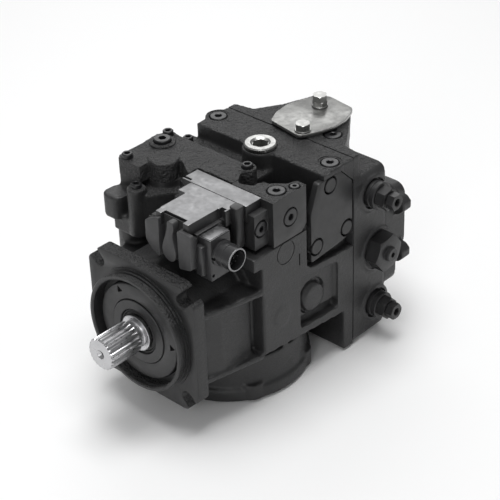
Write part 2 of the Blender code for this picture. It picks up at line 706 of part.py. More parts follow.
def block_spring():
    """Coil spring between the ball guide and the block."""
    turns = 5
    per_turn = 10
    low = 134.5
    high = 183.5
    steps = turns * per_turn
    coil = 18.2
    wire = 1.6
    section = [(wire, 0.0), (0.0, wire), (-wire, 0.0), (0.0, -wire)]
    loops = []
    for i in range(steps + 1):
        a = 2 * math.pi * i / per_turn
        y = low + (high - low) * i / steps
        loops.append([((coil + du) * math.cos(a), (coil + du) * math.sin(a), y + dy)
                      for du, dy in section])
    return loft("Y", loops)


def swashplate():
    disc = rod("Y", (0, 0), 56.0, SWASH_BACK, SWASH_FACE, 28)
    half_angle = math.degrees(math.acos((TILT_Y - SWASH_BACK - 2) / CRADLE_R))
    back = arc((TILT_Y, 0), CRADLE_R, 180 - half_angle, 180 + half_angle, 16)
    legs = [prism("X", back, x, x + CRADLE_WIDTH) for x in CRADLE_X]
    arm = box((-66.0, 72.0, -6.0), (-58.5, 92.0, 6.0))
    root = box((-62.0, 85.0, -6.0), (-48.0, 92.0, 6.0))
    pin = rod("X", (SERVO[1], 0), 4.0, -90.0, -60.0, 10)
    horn = box((-40.0, 85.0, 46.0), (-33.0, 110.0, 55.0))
    horn_root = box((-40.0, 85.0, 38.0), (-33.0, 95.0, 50.0))
    finger = rod("X", (TILT_Y, LINK_PIN_Z), 2.6, -50.0, -36.0, 8)
    solid = unite(disc, *legs, root, arm, pin, horn_root, horn, finger)
    shaft_way = rod("Y", (0, 0), 24.0, 60.0, 100.0, 16)
    return cut(solid, shaft_way)


def cradle_bearing(x):
    outer = arc((TILT_Y, 0), 49.3, 180 - 36, 180 + 36, 14)
    inner = arc((TILT_Y, 0), 46.35, 180 + 36, 180 - 36, 14)
    return prism("X", outer + inner, x, x + CRADLE_WIDTH)


def slipper_retainer():
    plate = rod("Y", (0, 0), 55.0, 99.5, 102.4, 26)
    holes = [rod("Y", place_on_circle(k), 11.6, 98.0, 104.0, 16, 7) for k in range(PISTONS)]
    return cut(plate, rod("Y", (0, 0), 22.8, 98.0, 104.0, 20), *holes)


def slipper(k):
    """Shoe with a flange under the retainer and a ball socket."""
    cavity = 8.1
    lip = 7.3
    top = TILT_Y + math.sqrt(cavity ** 2 - lip ** 2)
    inside = [(lip, top)]
    for t in (10.0, -30.0, -60.0):
        a = math.radians(t)
        inside.append((cavity * math.cos(a), TILT_Y + cavity * math.sin(a)))
    profile = [(0, 96.3), (13.0, 96.3), (13.0, 99.1), (10.7, 99.6), (10.7, 106.0), (9.4, top)]
    profile += inside + [(0, TILT_Y - cavity)]
    return turned("Y", place_on_circle(k), profile, 10)


def piston(k):
    ball = []
    for t in (-90.0, -45.0, 0.0):
        a = math.radians(t)
        ball.append((BALL_R * math.cos(a), TILT_Y + BALL_R * math.sin(a)))
    ball[0] = (0.0, TILT_Y - BALL_R)
    profile = ball + [(5.0, 111.8), (5.0, 115.0), (PISTON_R, 118.0), (PISTON_R, 188.0), (0, 188.0)]
    return turned("Y", place_on_circle(k), profile, 10)


def valve_plate():
    solid = rod("Y", (0, 0), 54.0, 210.0, 219.7, 26)
    ways = [rod("Y", (0, 0), 15.0, 209.0, 222.0, 14)]
    for side in (-1, 1):
        outer = arc((0, 0), 45.0, -60, 60, 8)
        inner = arc((0, 0), 35.0, 60, -60, 8)
        ways.append(prism("Y", [(side * u, v) for u, v in outer + inner], 209.0, 222.0))
    return cut(solid, *ways)


# ---------------------------------------------------------------- servo, feedback, charge pump

def servo_piston():
    solid = rod("Z", SERVO, SERVO_R, -34.0, 34.0, 14)
    slot = box((-104.0, SERVO[1] - 9.0, -6.2), (-60.0, SERVO[1] + 9.0, 6.2))
    return cut(solid, keep(slot, rod("Z", (SERVO[0] + 6, SERVO[1]), 16.5, -10, 10, 16)))


def slider_block():
    block = box((-89.5, SERVO[1] - 6.5, -5.6), (-78.0, SERVO[1] + 6.5, 5.6))
    return cut(block, rod("X", (SERVO[1], 0), 4.4, -92.0, -76.0, 10))


def feedback_link():
    bar = box((-48.5, TILT_Y - 5.0, 60.0), (-44.0, TILT_Y + 5.0, LINK_PIVOT_Z + 4))
    fork = box((-48.5, TILT_Y - 6.5, 44.0), (-44.0, TILT_Y + 6.5, 64.0))
    slot = box((-50.0, TILT_Y - 3.3, 40.0), (-42.0, TILT_Y + 3.3, 58.0))
    trunnion = rod("X", (TILT_Y, LINK_PIVOT_Z), 3.2, -58.0, -26.0, 8)
    return cut(unite(bar, fork, trunnion), slot)


def gerotor_profile(offset):
    """The inner rotor's trochoid, drawn in by the lobe radius and a running clearance."""
    outline = []
    lobes = GEROTOR_LOBES + 1
    steps = 60
    for i in range(steps):
        t = 2 * math.pi * i / steps
        u = LOBE_CIRCLE * math.cos(t) + GEROTOR_OFFSET * math.cos(lobes * t)
        v = LOBE_CIRCLE * math.sin(t) + GEROTOR_OFFSET * math.sin(lobes * t)
        du = -LOBE_CIRCLE * math.sin(t) - GEROTOR_OFFSET * lobes * math.sin(lobes * t)
        dv = LOBE_CIRCLE * math.cos(t) + GEROTOR_OFFSET * lobes * math.cos(lobes * t)
        length = math.hypot(du, dv)
        outline.append((u - dv / length * offset, v + du / length * offset))
    return outline


def charge_pump_inner_rotor():
    low, high = GEROTOR_Y
    rotor = prism("Y", gerotor_profile(LOBE_R + 0.7), low, high)
    return cut(rotor, rod("Y", (0, 0), 9.4, low - 1, high + 1, 14))


def charge_pump_outer_rotor():
    low, high = GEROTOR_Y
    centre = (GEROTOR_OFFSET, 0.0)
    ring = rod("Y", centre, 31.0, low, high, 42)
    hollow = rod("Y", centre, 22.4, low - 1, high + 1, 42)
    lobes = []
    for k in range(GEROTOR_LOBES + 1):
        a = 2 * math.pi * k / (GEROTOR_LOBES + 1)
        place = (centre[0] + LOBE_CIRCLE * math.cos(a), LOBE_CIRCLE * math.sin(a))
        lobes.append(rod("Y", place, LOBE_R, low, high, 14))
    return unite(cut(ring, hollow), *lobes)


# ---------------------------------------------------------------- assembly

def build():
    for old in list(bpy.data.objects):
        bpy.data.objects.remove(old)
    tilt = (0.0, TILT_Y, 0.0)
    fixed = [
        (housing, "paint"), (end_cap, "paint"), (end_cap_gasket, "gasket"),
        (bearing_cover, "paint"), (seal_carrier, "paint"), (shaft_seal, "rubber"),
        (top_cover, "cast"), (valve_plate, "bronze"), (side_cover, "paint"),
        (bottom_cover, "paint"), (port_cover, "zinc"), (fill_plug, "zinc"),
        (control_body, "machined"), (torque_motor_body, "machined"),
        (torque_motor_cover, "plastic"), (connector_shell, "plastic"),
        (connector_insert, "plastic"), (charge_relief_valve, "paint"), (rear_cover, "paint"),
    ]
    for make, kind in fixed:
        node(make.__name__, make(), kind)
    node("front_bearing_race", tube("Y", (0, 0), 31.2, 38.0, 12.0, 33.6, 22), "steel")
    node("rear_bearing_bush", tube("Y", (0, 0), 12.4, 22.0, 221.0, 240.0, 16), "bronze")
    node("cradle_bearing_left", cradle_bearing(CRADLE_X[0]), "bronze")
    node("cradle_bearing_right", cradle_bearing(CRADLE_X[1]), "bronze")
    node("multifunction_valve_upper", cartridge(UPPER_VALVE, 119.0), "paint")
    node("multifunction_valve_lower", cartridge(LOWER_VALVE, 117.0), "paint")
    axis = (0.0, 0.0, 0.0)
    for make, kind in ((drive_shaft, "steel"), (cylinder_block, "steel"), (ball_guide, "steel"),
                       (block_spring, "steel"), (charge_pump_inner_rotor, "steel"),
                       (front_bearing_cage, "steel")):
        node(make.__name__, make(), kind, axis)
    node("charge_pump_outer_rotor", charge_pump_outer_rotor(), "steel", (GEROTOR_OFFSET, 0.0, 0.0))
    node("slipper_retainer", slipper_retainer(), "bronze", tilt)
    node("swashplate", swashplate(), "steel", tilt)
    node("servo_piston", servo_piston(), "steel", (*SERVO, 0.0))
    node("slider_block", slider_block(), "steel", (SERVO[0], SERVO[1], 0.0))
    node("feedback_link", feedback_link(), "steel", (-46.0, TILT_Y, LINK_PIVOT_Z))
    node("control_spool", control_spool(), "steel", (56.0, SPOOL_Y, SPOOL_Z))
    node("bypass_hex_upper", bypass_hex(UPPER_VALVE, 119.0), "steel", (100.0, *UPPER_VALVE))
    node("bypass_hex_lower", bypass_hex(LOWER_VALVE, 117.0), "steel", (100.0, *LOWER_VALVE))
    node("relief_poppet", relief_poppet(), "steel", (66.0, *MIDDLE_VALVE))
    for k in range(PISTONS):
        u, v = place_on_circle(k)
        node("slipper_" + str(k + 1), slipper(k), "bronze", (u, TILT_Y, v))
        node("piston_" + str(k + 1), piston(k), "steel", (u, TILT_Y, v))


build()
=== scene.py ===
"""Looks of the axial piston pump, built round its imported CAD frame.

Sizes are millimetres in the row's frame (origin on the shaft axis in the flange face, +Y to the
end cap, +Z up); meshes are made in metres.
"""

import math
import random

import bmesh
import bpy
import numpy as np
from mathutils import Matrix, Vector


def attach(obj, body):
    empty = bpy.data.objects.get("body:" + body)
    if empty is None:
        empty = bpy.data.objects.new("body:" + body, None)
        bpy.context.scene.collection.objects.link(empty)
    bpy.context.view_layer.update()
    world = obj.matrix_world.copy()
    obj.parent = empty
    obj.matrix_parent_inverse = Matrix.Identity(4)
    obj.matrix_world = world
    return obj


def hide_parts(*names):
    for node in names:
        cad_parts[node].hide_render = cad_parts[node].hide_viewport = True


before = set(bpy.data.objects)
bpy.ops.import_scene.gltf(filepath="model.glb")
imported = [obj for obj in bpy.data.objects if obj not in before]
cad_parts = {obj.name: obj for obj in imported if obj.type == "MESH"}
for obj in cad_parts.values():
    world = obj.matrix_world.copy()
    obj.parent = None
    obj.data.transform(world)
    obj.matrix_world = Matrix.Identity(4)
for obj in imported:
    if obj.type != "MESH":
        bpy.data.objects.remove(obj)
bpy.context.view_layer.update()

MM = 0.001
PLANES = {"X": (1, 2, 0), "Y": (0, 2, 1), "Z": (0, 1, 2)}  # axes of u, v and depth
ROUND = 48          # sides of a round solid
SMOOTH_ANGLE = 32.0

# The photograph's viewpoint: angles in degrees, distance in metres, aim and lens in millimetres.
CAMERA_AZIMUTH = 43.805
CAMERA_ELEVATION = 32.604
CAMERA_ROLL = -2.042
CAMERA_AIM = (-0.07, 156.36, 15.28)
CAMERA_DISTANCE = 1.6325
CAMERA_LENS = 112.84

# Levels, from the lowest up.
BASE_Z = -101.0
SHELF_TOP = 105.0
VALLEY_FLOOR = 110.5
LUG_TOP = 112.0
COVER_SEAT = 113.0
RIDGE_TOP = 128.8
COVER_TOP = 131.0
PAD_TOP = 131.3
PORT_PLATE_TOP = PAD_TOP + 3.6

# Planes across the length, from the flange to the rear, and the casting's half width.
TILT_Y = 106.0
CAP_FRONT = 220.4
CAP_REAR = 271.0
REAR_SEAT = 276.8
REAR_LOW = 299.0
REAR_END = 309.0
HALF = 87.0
STEP_SIDE = 80.0

# Flange and spline: the pilot's radius, a bolt slot's half width and centre, the teeth.
PILOT = 63.5
SLOT_HALF = 7.15
SLOT_PLACE = 57.25
FLANGE_CHAMFER = 17.5
TEETH = 21
CREST = 17.2        # the spline's outer radius

# Places (x, y) on upward faces, (y, z) on side faces and (x, z) on the rear.
SERVO = (-84.0, 76.0)
FOOT = (0.0, 122.0)
FOOT_CIRCLE = 72.0
FILL_PLUG = (-1.0, 178.0)
COVER_SCREWS = [(-86.0, 73.5), (-88.5, 133.5), (21.6, 134.3)]
COVER_BOSS = (-55.0, 94.0)
COVER_PLUG = (-80.0, 117.0)
VALLEY_SCREW = (-90.0, 163.0)
LUG = (-60.6, 59.6)
PORT_BOLTS = [(17.0, 222.5), (-5.0, 275.0)]
PORT_MIDDLE = (1.2, 254.5)
RIDGE_PLUGS = [(-80, 199), (74, 198)]
CAP_PLUG = (39, 244)
UPPER_VALVE = (250.5, 75.0)
MIDDLE_VALVE = (259.5, 3.0)
LOWER_VALVE = (256.0, -63.5)
UPPER_TIP = 119.0
LOWER_TIP = 117.0
SIDE_SCREWS = [(184.5, 113.0), (209.8, 52.0), (163.2, 51.0)]
CONNECTOR = (42.0, 98.6)
CAP_BOLTS = [(-72.0, -84.0), (-72.0, 84.0), (72.0, -84.0), (72.0, 84.0),
             (-26.0, -84.0), (26.0, -84.0)]
REAR_SCREWS = [(-66.0, 44.0), (66.0, 44.0), (-66.0, -44.0), (66.0, -44.0)]

# Flush plugs: axis, place, face and radius.
GALLERY_PLUGS = [("Z", place, RIDGE_TOP - 0.2, 9.0) for place in RIDGE_PLUGS]
GALLERY_PLUGS.append(("Z", CAP_PLUG, RIDGE_TOP, 9.0))
CONTROL_PLUGS = [("X", (124, 105), HALF, 9.0), ("X", (89.6, 104.8), STEP_SIDE, 8.0),
                 ("Z", (72.8, 120), COVER_TOP, 9.0), ("Z", (80.4, 137.6), COVER_TOP, 5.0)]


# -------- camera, light and floor

def set_camera():
    azimuth = math.radians(CAMERA_AZIMUTH)
    elevation = math.radians(CAMERA_ELEVATION)
    roll = math.radians(CAMERA_ROLL)
    back = Vector((math.sin(azimuth) * math.cos(elevation),
                   -math.cos(azimuth) * math.cos(elevation), math.sin(elevation)))
    right = Vector((math.cos(azimuth), math.sin(azimuth), 0.0))
    up = back.cross(right)
    across = math.cos(roll) * right + math.sin(roll) * up
    above = -math.sin(roll) * right + math.cos(roll) * up
    place = Vector(CAMERA_AIM) * MM + back * CAMERA_DISTANCE
    data = bpy.data.cameras.new("camera")
    data.lens = CAMERA_LENS
    data.sensor_width = 36.0
    data.clip_end = 20.0
    camera = bpy.data.objects.new("camera", data)
    camera.matrix_world = Matrix((
        (across.x, above.x, back.x, place.x), (across.y, above.y, back.y, place.y),
        (across.z, above.z, back.z, place.z), (0.0, 0.0, 0.0, 1.0)))
    bpy.context.scene.collection.objects.link(camera)
    bpy.context.scene.camera = camera


def area_light(name, place, size, watts):
    """A rectangular light that faces the middle of the pump."""
    data = bpy.data.lights.new(name, "AREA")
    data.shape = "RECTANGLE"
    data.size, data.size_y = size
    data.energy = watts
    lamp = bpy.data.objects.new(name, data)
    lamp.location = place
    aim = Vector((0.0, 0.12, 0.0)) - Vector(place)
    lamp.rotation_euler = aim.to_track_quat("-Z", "Y").to_euler()
    bpy.context.scene.collection.objects.link(lamp)


def set_stage():
    world = bpy.data.worlds.new("world")
    world.use_nodes = True
    sky = world.node_tree.nodes["Background"]
    sky.inputs["Color"].default_value = (0.96, 0.965, 0.97, 1.0)
    sky.inputs["Strength"].default_value = 0.32
    bpy.context.scene.world = world
    bpy.context.scene.view_settings.view_transform = "Standard"
    area_light("overhead", (0.0, 0.1, 2.2), (1.3, 1.3), 38.0)
    area_light("back", (-1.25, 1.4, 1.15), (1.5, 0.8), 9.0)
    area_light("side", (0.9, -1.5, 0.9), (0.5, 1.2), 7.0)
    bpy.ops.mesh.primitive_plane_add(size=12.0, location=(0.0, 0.12, BASE_Z * MM - 0.0006))
    floor = bpy.context.object
    floor.name = "floor"
    pale = bpy.data.materials.new("floor")
    pale.use_nodes = True
    shader = pale.node_tree.nodes["Principled BSDF"]
    shader.inputs["Base Color"].default_value = (0.92, 0.92, 0.92, 1.0)
    shader.inputs["Roughness"].default_value = 0.7
    floor.data.materials.append(pale)


# -------- materials

class Finish:
    """A node material written as a short recipe, in object coordinates."""

    def __init__(self, name, colour, roughness, metallic):
        self.material = bpy.data.materials.new(name)
        self.material.use_nodes = True
        self.tree = self.material.node_tree
        self.shader = self.tree.nodes["Principled BSDF"]
        self.shader.inputs["Metallic"].default_value = metallic
        self.shader.inputs["Roughness"].default_value = roughness
        self.shader.inputs["Base Color"].default_value = (*colour, 1.0)
        self.height = None
        self.material.diffuse_color = (*colour, 1.0)
        self.place = self.add("ShaderNodeTexCoord").outputs["Object"]

    def add(self, kind, **inputs):
        made = self.tree.nodes.new(kind)
        for key, value in inputs.items():
            self.feed(made.inputs[key], value)
        return made

    def feed(self, socket, value):
        if isinstance(value, bpy.types.NodeSocket):
            self.tree.links.new(value, socket)
        else:
            socket.default_value = value

    def noise(self, size, detail=3.0, stretch=None, roughness=0.55):
        """Noise whose grain is about size millimetres."""
        place = self.place
        if stretch:
            mapped = self.add("ShaderNodeMapping")
            self.feed(mapped.inputs["Vector"], place)
            mapped.inputs["Scale"].default_value = stretch
            place = mapped.outputs["Vector"]
        made = self.add("ShaderNodeTexNoise", Vector=place, Scale=1.0 / (size * MM),
                        Detail=detail, Roughness=roughness)
        return made.outputs["Fac"]

    def ramp(self, source, low, high, start, end):
        """The source's range start to end, spread over low to high."""
        made = self.add("ShaderNodeMapRange", Value=source)
        made.inputs["From Min"].default_value = start
        made.inputs["From Max"].default_value = end
        made.inputs["To Min"].default_value = low
        made.inputs["To Max"].default_value = high
        return made.outputs["Result"]

    def mix(self, factor, first, second):
        """A blend of two colours."""
        made = self.tree.nodes.new("ShaderNodeMix")
        made.data_type = "RGBA"
        self.feed(made.inputs["Factor"], factor)
        self.feed(made.inputs[6], (*first, 1.0))
        self.feed(made.inputs[7], (*second, 1.0))
        return made.outputs[2]

    def colour(self, value):
        self.feed(self.shader.inputs["Base Color"], value)

    def rough(self, value):
        self.feed(self.shader.inputs["Roughness"], value)

    def bump(self, source, depth, strength=1.0):
        """Adds a relief, depth in millimetres."""
        made = self.add("ShaderNodeBump", Height=source, Strength=strength, Distance=depth * MM)
        if self.height:
            self.tree.links.new(self.height, made.inputs["Normal"])
        self.height = made.outputs["Normal"]
        self.feed(self.shader.inputs["Normal"], self.height)


def cast_paint(name, grain, depth, colour):
    """Satin black paint over sand-cast iron: grain and depth in millimetres."""
    made = Finish(name, colour, 0.42, 0.0)
    coarse = made.noise(grain * 3.2, 2.0)
    fine = made.noise(grain, 4.0)
    dust = made.ramp(made.noise(26.0, 3.0), 0.0, 0.5, 0.45, 0.75)
    made.colour(made.mix(dust, colour, tuple(1.7 * c for c in colour)))
    made.rough(made.ramp(fine, 0.34, 0.58, 0.3, 0.7))
    made.bump(coarse, depth * 1.6, 0.7)
    made.bump(fine, depth, 0.9)
    return made.material


def smooth_paint(name, colour):
    """The same paint over a machined face, with a faint orange peel."""
    made = Finish(name, colour, 0.42, 0.0)
    peel = made.noise(2.2, 2.0)
    cloud = made.ramp(made.noise(34.0, 3.0), 0.0, 1.0, 0.4, 0.7)
    made.colour(made.mix(cloud, colour, tuple(1.35 * c for c in colour)))
    made.rough(made.ramp(made.noise(9.0, 4.0), 0.36, 0.5, 0.3, 0.7))
    made.bump(peel, 0.05, 0.6)
    return made.material


def bare_metal(name, colour, roughness, stretch, line, depth, blotch):
    """Machined or plated metal: tool lines along the least axis of stretch, and blotches."""
    made = Finish(name, colour, roughness, 1.0)
    lines = made.noise(line, 3.0, stretch)
    cloud = made.ramp(made.noise(14.0, 4.0, roughness=0.65), 0.0, 1.0, 0.38, 0.66)
    darker = tuple(c * (1.0 - blotch) for c in colour)
    made.colour(made.mix(cloud, darker, colour))
    made.rough(made.ramp(made.noise(5.0, 4.0), roughness * 0.8, roughness * 1.35, 0.3, 0.7))
    made.bump(lines, depth, 0.8)
    return made.material


def moulded(name, colour, roughness, grain, depth):
    """Moulded plastic or rubber with a fine grain."""
    made = Finish(name, colour, roughness, 0.0)
    made.rough(made.ramp(made.noise(6.0, 3.0), roughness * 0.85, roughness * 1.15, 0.3, 0.7))
    made.colour(made.mix(made.noise(18.0, 3.0), colour, tuple(1.5 * c for c in colour)))
    made.bump(made.noise(grain, 2.0), depth, 0.7)
    return made.material


# -------- mesh tools

def point(axis, u, v, w):
    """The point u, v across an axis and w along it, in metres."""
    a, b, c = PLANES[axis]
    place = [0.0, 0.0, 0.0]
    place[a] = u
    place[b] = v
    place[c] = w
    return Vector(place) * MM


def as_object(mesh):
    """The bmesh as an object, its faces turned outwards."""
    bmesh.ops.recalc_face_normals(mesh, faces=mesh.faces)
    data = bpy.data.meshes.new("piece")
    mesh.to_mesh(data)
    mesh.free()
    made = bpy.data.objects.new("piece", data)
    bpy.context.scene.collection.objects.link(made)
    return made


def loft(axis, loops, closed=False):
    """Closed solid through loops of (u, v, w) points, or a ring that joins its two ends."""
    mesh = bmesh.new()
    rings = [[mesh.verts.new(point(axis, *p)) for p in loop] for loop in loops]
    count = len(rings[0])
    pairs = list(zip(rings, rings[1:]))
    if closed:
        pairs.append((rings[-1], rings[0]))
    for ring, after in pairs:
        for i in range(count):
            j = (i + 1) % count
            mesh.faces.new((ring[i], ring[j], after[j], after[i]))
    if not closed:
        mesh.faces.new(rings[0])
        mesh.faces.new(rings[-1])
    return as_object(mesh)


def prism(axis, outline, low, high):
    """The outline's solid from low to high along the axis."""
    return loft(axis, [[(u, v, w) for u, v in outline] for w in (low, high)])


def box(low, high):
    (x0, y0, z0), (x1, y1, z1) = low, high
    return prism("Z", [(x0, y0), (x1, y0), (x1, y1), (x0, y1)], z0, z1)


def arc(centre, radius, start, end, steps):
    """Points of an arc, from start to end degrees."""
    angles = [math.radians(start + (end - start) * i / steps) for i in range(steps + 1)]
    return [(centre[0] + radius * math.cos(a), centre[1] + radius * math.sin(a)) for a in angles]


def rounded(u0, v0, u1, v1, radius):
    """A rectangle's outline with round corners."""
    corners = ((u1, v1, -1, -1, 0), (u0, v1, 1, -1, 90), (u0, v0, 1, 1, 180), (u1, v0, -1, 1, 270))
    outline = []
    for u, v, du, dv, start in corners:
        outline += arc((u + du * radius, v + dv * radius), radius, start, start + 90, 6)
    return outline


def round_corners(outline, radius):
    """The outline with each corner replaced by a short curve."""
    made = []
    count = len(outline)
    for i in range(count):
        here = Vector(outline[i])
        before = Vector(outline[i - 1]) - here
        after = Vector(outline[(i + 1) % count]) - here
        reach = min(radius, before.length * 0.45, after.length * 0.45)
        start = here + before.normalized() * reach
        end = here + after.normalized() * reach
        for k in range(5):
            t = k / 4
            made.append(tuple((1 - t) ** 2 * start + 2 * t * (1 - t) * here + t ** 2 * end))
    return made


def turned(axis, centre, profile, segments=ROUND, phase=0.0):
    """Solid of revolution of (radius, along) points: from the axis to the axis, or a ring."""
    loops = []
    solid = profile[0][0] < 1e-6
    points = profile[1:-1] if solid else profile
    for radius, along in points:
        loop = []
        for i in range(segments):
            a = 2 * math.pi * i / segments + math.radians(phase)
            loop.append((centre[0] + radius * math.cos(a), centre[1] + radius * math.sin(a), along))
        loops.append(loop)
    return loft(axis, loops, closed=not solid)


def rod(axis, centre, radius, low, high, segments=ROUND, phase=0.0, chamfer=0.0):
    """Cylinder or regular prism, with a chamfer at each end if asked."""
    if not chamfer:
        return turned(axis, centre, [(0, low), (radius, low), (radius, high), (0, high)],
                      segments, phase)
    profile = [(0, low), (radius - chamfer, low), (radius, low + chamfer),
               (radius, high - chamfer), (radius - chamfer, high), (0, high)]
    return turned(axis, centre, profile, segments, phase)


def ring(axis, centre, inner, outer, low, high, segments=ROUND):
    return turned(axis, centre, [(inner, low), (outer, low), (outer, high), (inner, high)],
                  segments)


def baked(piece):
    """Apply the piece's modifiers."""
    bpy.context.view_layer.update()
    graph = bpy.context.evaluated_depsgraph_get()
    result = bpy.data.meshes.new_from_object(piece.evaluated_get(graph))
    piece.modifiers.clear()
    piece.data = result
    return piece


def combine(base, tools, operation):
    """One Boolean step per tool, which uses the tools up."""
    for tool in tools:
        step = base.modifiers.new(operation, "BOOLEAN")
        step.operation = operation
        step.solver = "MANIFOLD"
        step.object = tool
    baked(base)
    for tool in tools:
        bpy.data.objects.remove(tool)
    return base


def unite(base, *tools):
    return combine(base, tools, "UNION")


def cut(base, *tools):
    return combine(base, tools, "DIFFERENCE")


def bevel(piece, width, segments=2):
    """Round the sharp edges by width millimetres."""
    step = piece.modifiers.new("bevel", "BEVEL")
    step.width = width * MM
    step.segments = segments
    step.limit_method = "ANGLE"
    step.angle_limit = math.radians(SMOOTH_ANGLE)
    step.use_clamp_overlap = True
    return baked(piece)


def cast(piece, voxel):
    """Round a rough solid the way a sand casting is: small radii outside, fillets inside."""
    step = piece.modifiers.new("grid", "REMESH")
    step.mode = "VOXEL"
    step.voxel_size = voxel * MM
    step = piece.modifiers.new("soften", "SMOOTH")
    step.factor = 0.5
    step.iterations = 5
    return baked(piece)


def thinned(piece, share):
    """Keep a share of the faces that the casting step made."""
    step = piece.modifiers.new("thin", "DECIMATE")
    step.ratio = share
    return baked(piece)


def ripple(piece, amount, size, seed):
    """Uneven cast skin as real relief on upward faces, amount and size in millimetres."""
    random.seed(seed)
    waves = []
    for _ in range(14):
        way = Vector((random.gauss(0, 1), random.gauss(0, 1), random.gauss(0, 1)))
        waves.append((way * (2.0 / (size * MM)), random.uniform(0, 6.28)))
    count = len(piece.data.vertices)
    place = np.empty(count * 3)
    piece.data.vertices.foreach_get("co", place)
    place = place.reshape(-1, 3)
    normal = np.empty(count * 3)
    piece.data.vertex_normals.foreach_get("vector", normal)
    normal = normal.reshape(-1, 3)
    shift = np.zeros(count)
    for way, phase in waves:
        shift += np.sin(place @ np.array(way) + phase)
    shift *= amount * MM / 4.0
    shift *= np.clip((normal[:, 2] - 0.6) / 0.3, 0.0, 1.0)
    place += normal * shift[:, None]
    piece.data.vertices.foreach_set("co", place.ravel())
    return piece


def finish_faces(piece, *rules):
    """Material 1, 2 and so on by rule: a rule takes face centres in mm and their normals."""
    count = len(piece.data.polygons)
    centre = np.empty(count * 3)
    piece.data.polygons.foreach_get("center", centre)
    centre = centre.reshape(-1, 3) / MM
    normal = np.empty(count * 3)
    piece.data.polygons.foreach_get("normal", normal)
    normal = normal.reshape(-1, 3)
    index = np.zeros(count, dtype=np.int32)
    for number, rule in enumerate(rules, start=1):
        index[rule(centre, normal)] = number
    piece.data.polygons.foreach_set("material_index", index)
    return piece


def piece(name, made, finishes, slot, body="root", stands_for=()):
    """Name the object, give it its materials, and say what it rides on and replaces."""
    made.name = name
    made.data.name = name
    index = [face.material_index for face in made.data.polygons]
    made.data.materials.clear()
    for finish in finishes if isinstance(finishes, list) else [finishes]:
        made.data.materials.append(finish)
    made.data.polygons.foreach_set("material_index", index)
    made.data.shade_smooth()
    made.data.set_sharp_from_angle(angle=math.radians(SMOOTH_ANGLE))
    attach(made, body)
    if stands_for:
        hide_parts(*stands_for)
    return made


def joined(solids):
    """Several separate solids as one piece."""
    mesh = bmesh.new()
    for solid in solids:
        mesh.from_mesh(solid.data)
        bpy.data.objects.remove(solid)
    return as_object(mesh)


# -------- fasteners and plugs

def turned_out(axis, centre, face, profile, segments):
    """A turned solid whose profile is measured outwards from a face."""
    return turned(axis, centre, [(r, face + h) for r, h in profile], segments)


def socket_screw(axis, centre, seat, radius, height):
    """Socket head screw with a chamfered rim and a hexagon socket."""
    profile = [(0, -1.0), (radius, -1.0), (radius, height - 0.9), (radius - 0.9, height),
               (0, height)]
    head = turned_out(axis, centre, seat, profile, 32)
    low = seat + height * 0.45
    socket = rod(axis, centre, radius * 0.56, low, low + height, 6)
    rim = turned_out(axis, centre, seat,
                     [(0, height - 0.5), (radius * 0.5, height - 0.5),
                      (radius * 0.68, height + 0.4), (0, height + 0.4)], 24)
    return cut(head, socket, rim)


def hex_head(axis, centre, seat, radius, height, phase):
    """Hexagon head, chamfered by a cone."""
    head = rod(axis, centre, radius, seat, seat + height, 6, phase)
    cone = turned_out(axis, centre, seat,
                      [(0, -3.0), (radius + 4, -3.0), (radius + 4, height - 3.4),
                       (radius * 0.84, height + 0.35), (0, height + 0.35)], 36)
    return combine(head, [cone], "INTERSECT")


def flush_plug(axis, centre, face, radius):
    """Round gallery plug with a chamfered face and a hexagon socket."""
    proud = 0.5
    key_radius = radius * 0.42
    profile = [(0, -3.0), (radius, -3.0), (radius, proud - 0.7), (radius - 0.7, proud), (0, proud)]
    body = turned_out(axis, centre, face, profile, 40)
    low = face - 2.5
    key = rod(axis, centre, key_radius, low, low + 6.0, 6, 30)
    lead = turned_out(axis, centre, face,
                      [(0, proud - 0.5), (key_radius * 0.9, proud - 0.5),
                       (key_radius * 1.2, proud + 0.3), (0, proud + 0.3)], 30)
    return cut(body, key, lead)


def plug_well(axis, centre, face, radius):
    """The counterbore that a flush plug sits in, with a small lead-in chamfer."""
    wall = radius + 1.0
    profile = [(0, -3.2), (wall, -3.2), (wall, -0.6), (wall + 0.8, 0.2), (wall + 0.8, 2.0),
               (0, 2.0)]
    return turned_out(axis, centre, face, profile, 40)


def screw_group(axis, places, seat, radius, height):
    return joined([socket_screw(axis, p, seat, radius, height) for p in places])


# -------- castings

def chamfered_square(reach, chamfer):
    near = reach - chamfer
    return [(reach, -near), (reach, near), (near, reach), (-near, reach),
            (-reach, near), (-reach, -near), (-near, -reach), (near, -reach)]


def foot_screw_places():
    angles = [math.radians(30 + 60 * k) for k in range(6)]
    return [(FOOT_CIRCLE * math.cos(a), FOOT[1] + FOOT_CIRCLE * math.sin(a)) for a in angles]


def bolt_slots(grow, low, high):
    """Cutters for the four open bolt slots, wider by grow on every side."""
    slots = []
    half = SLOT_HALF + grow
    for k in range(4):
        turn = math.radians(45 + 90 * k)
        way = Vector((math.cos(turn), math.sin(turn)))
        across = Vector((-way.y, way.x)) * half
        centre = way * SLOT_PLACE * math.sqrt(2)
        inner = [centre + across * math.sin(t) - way * half * math.cos(t)
                 for t in [math.radians(-90 + 15 * i) for i in range(13)]]
        outer = [centre + way * 30 + across, centre + way * 30 - across]
        slots.append(prism("Y", [tuple(p) for p in inner + outer], low, high))
    return slots


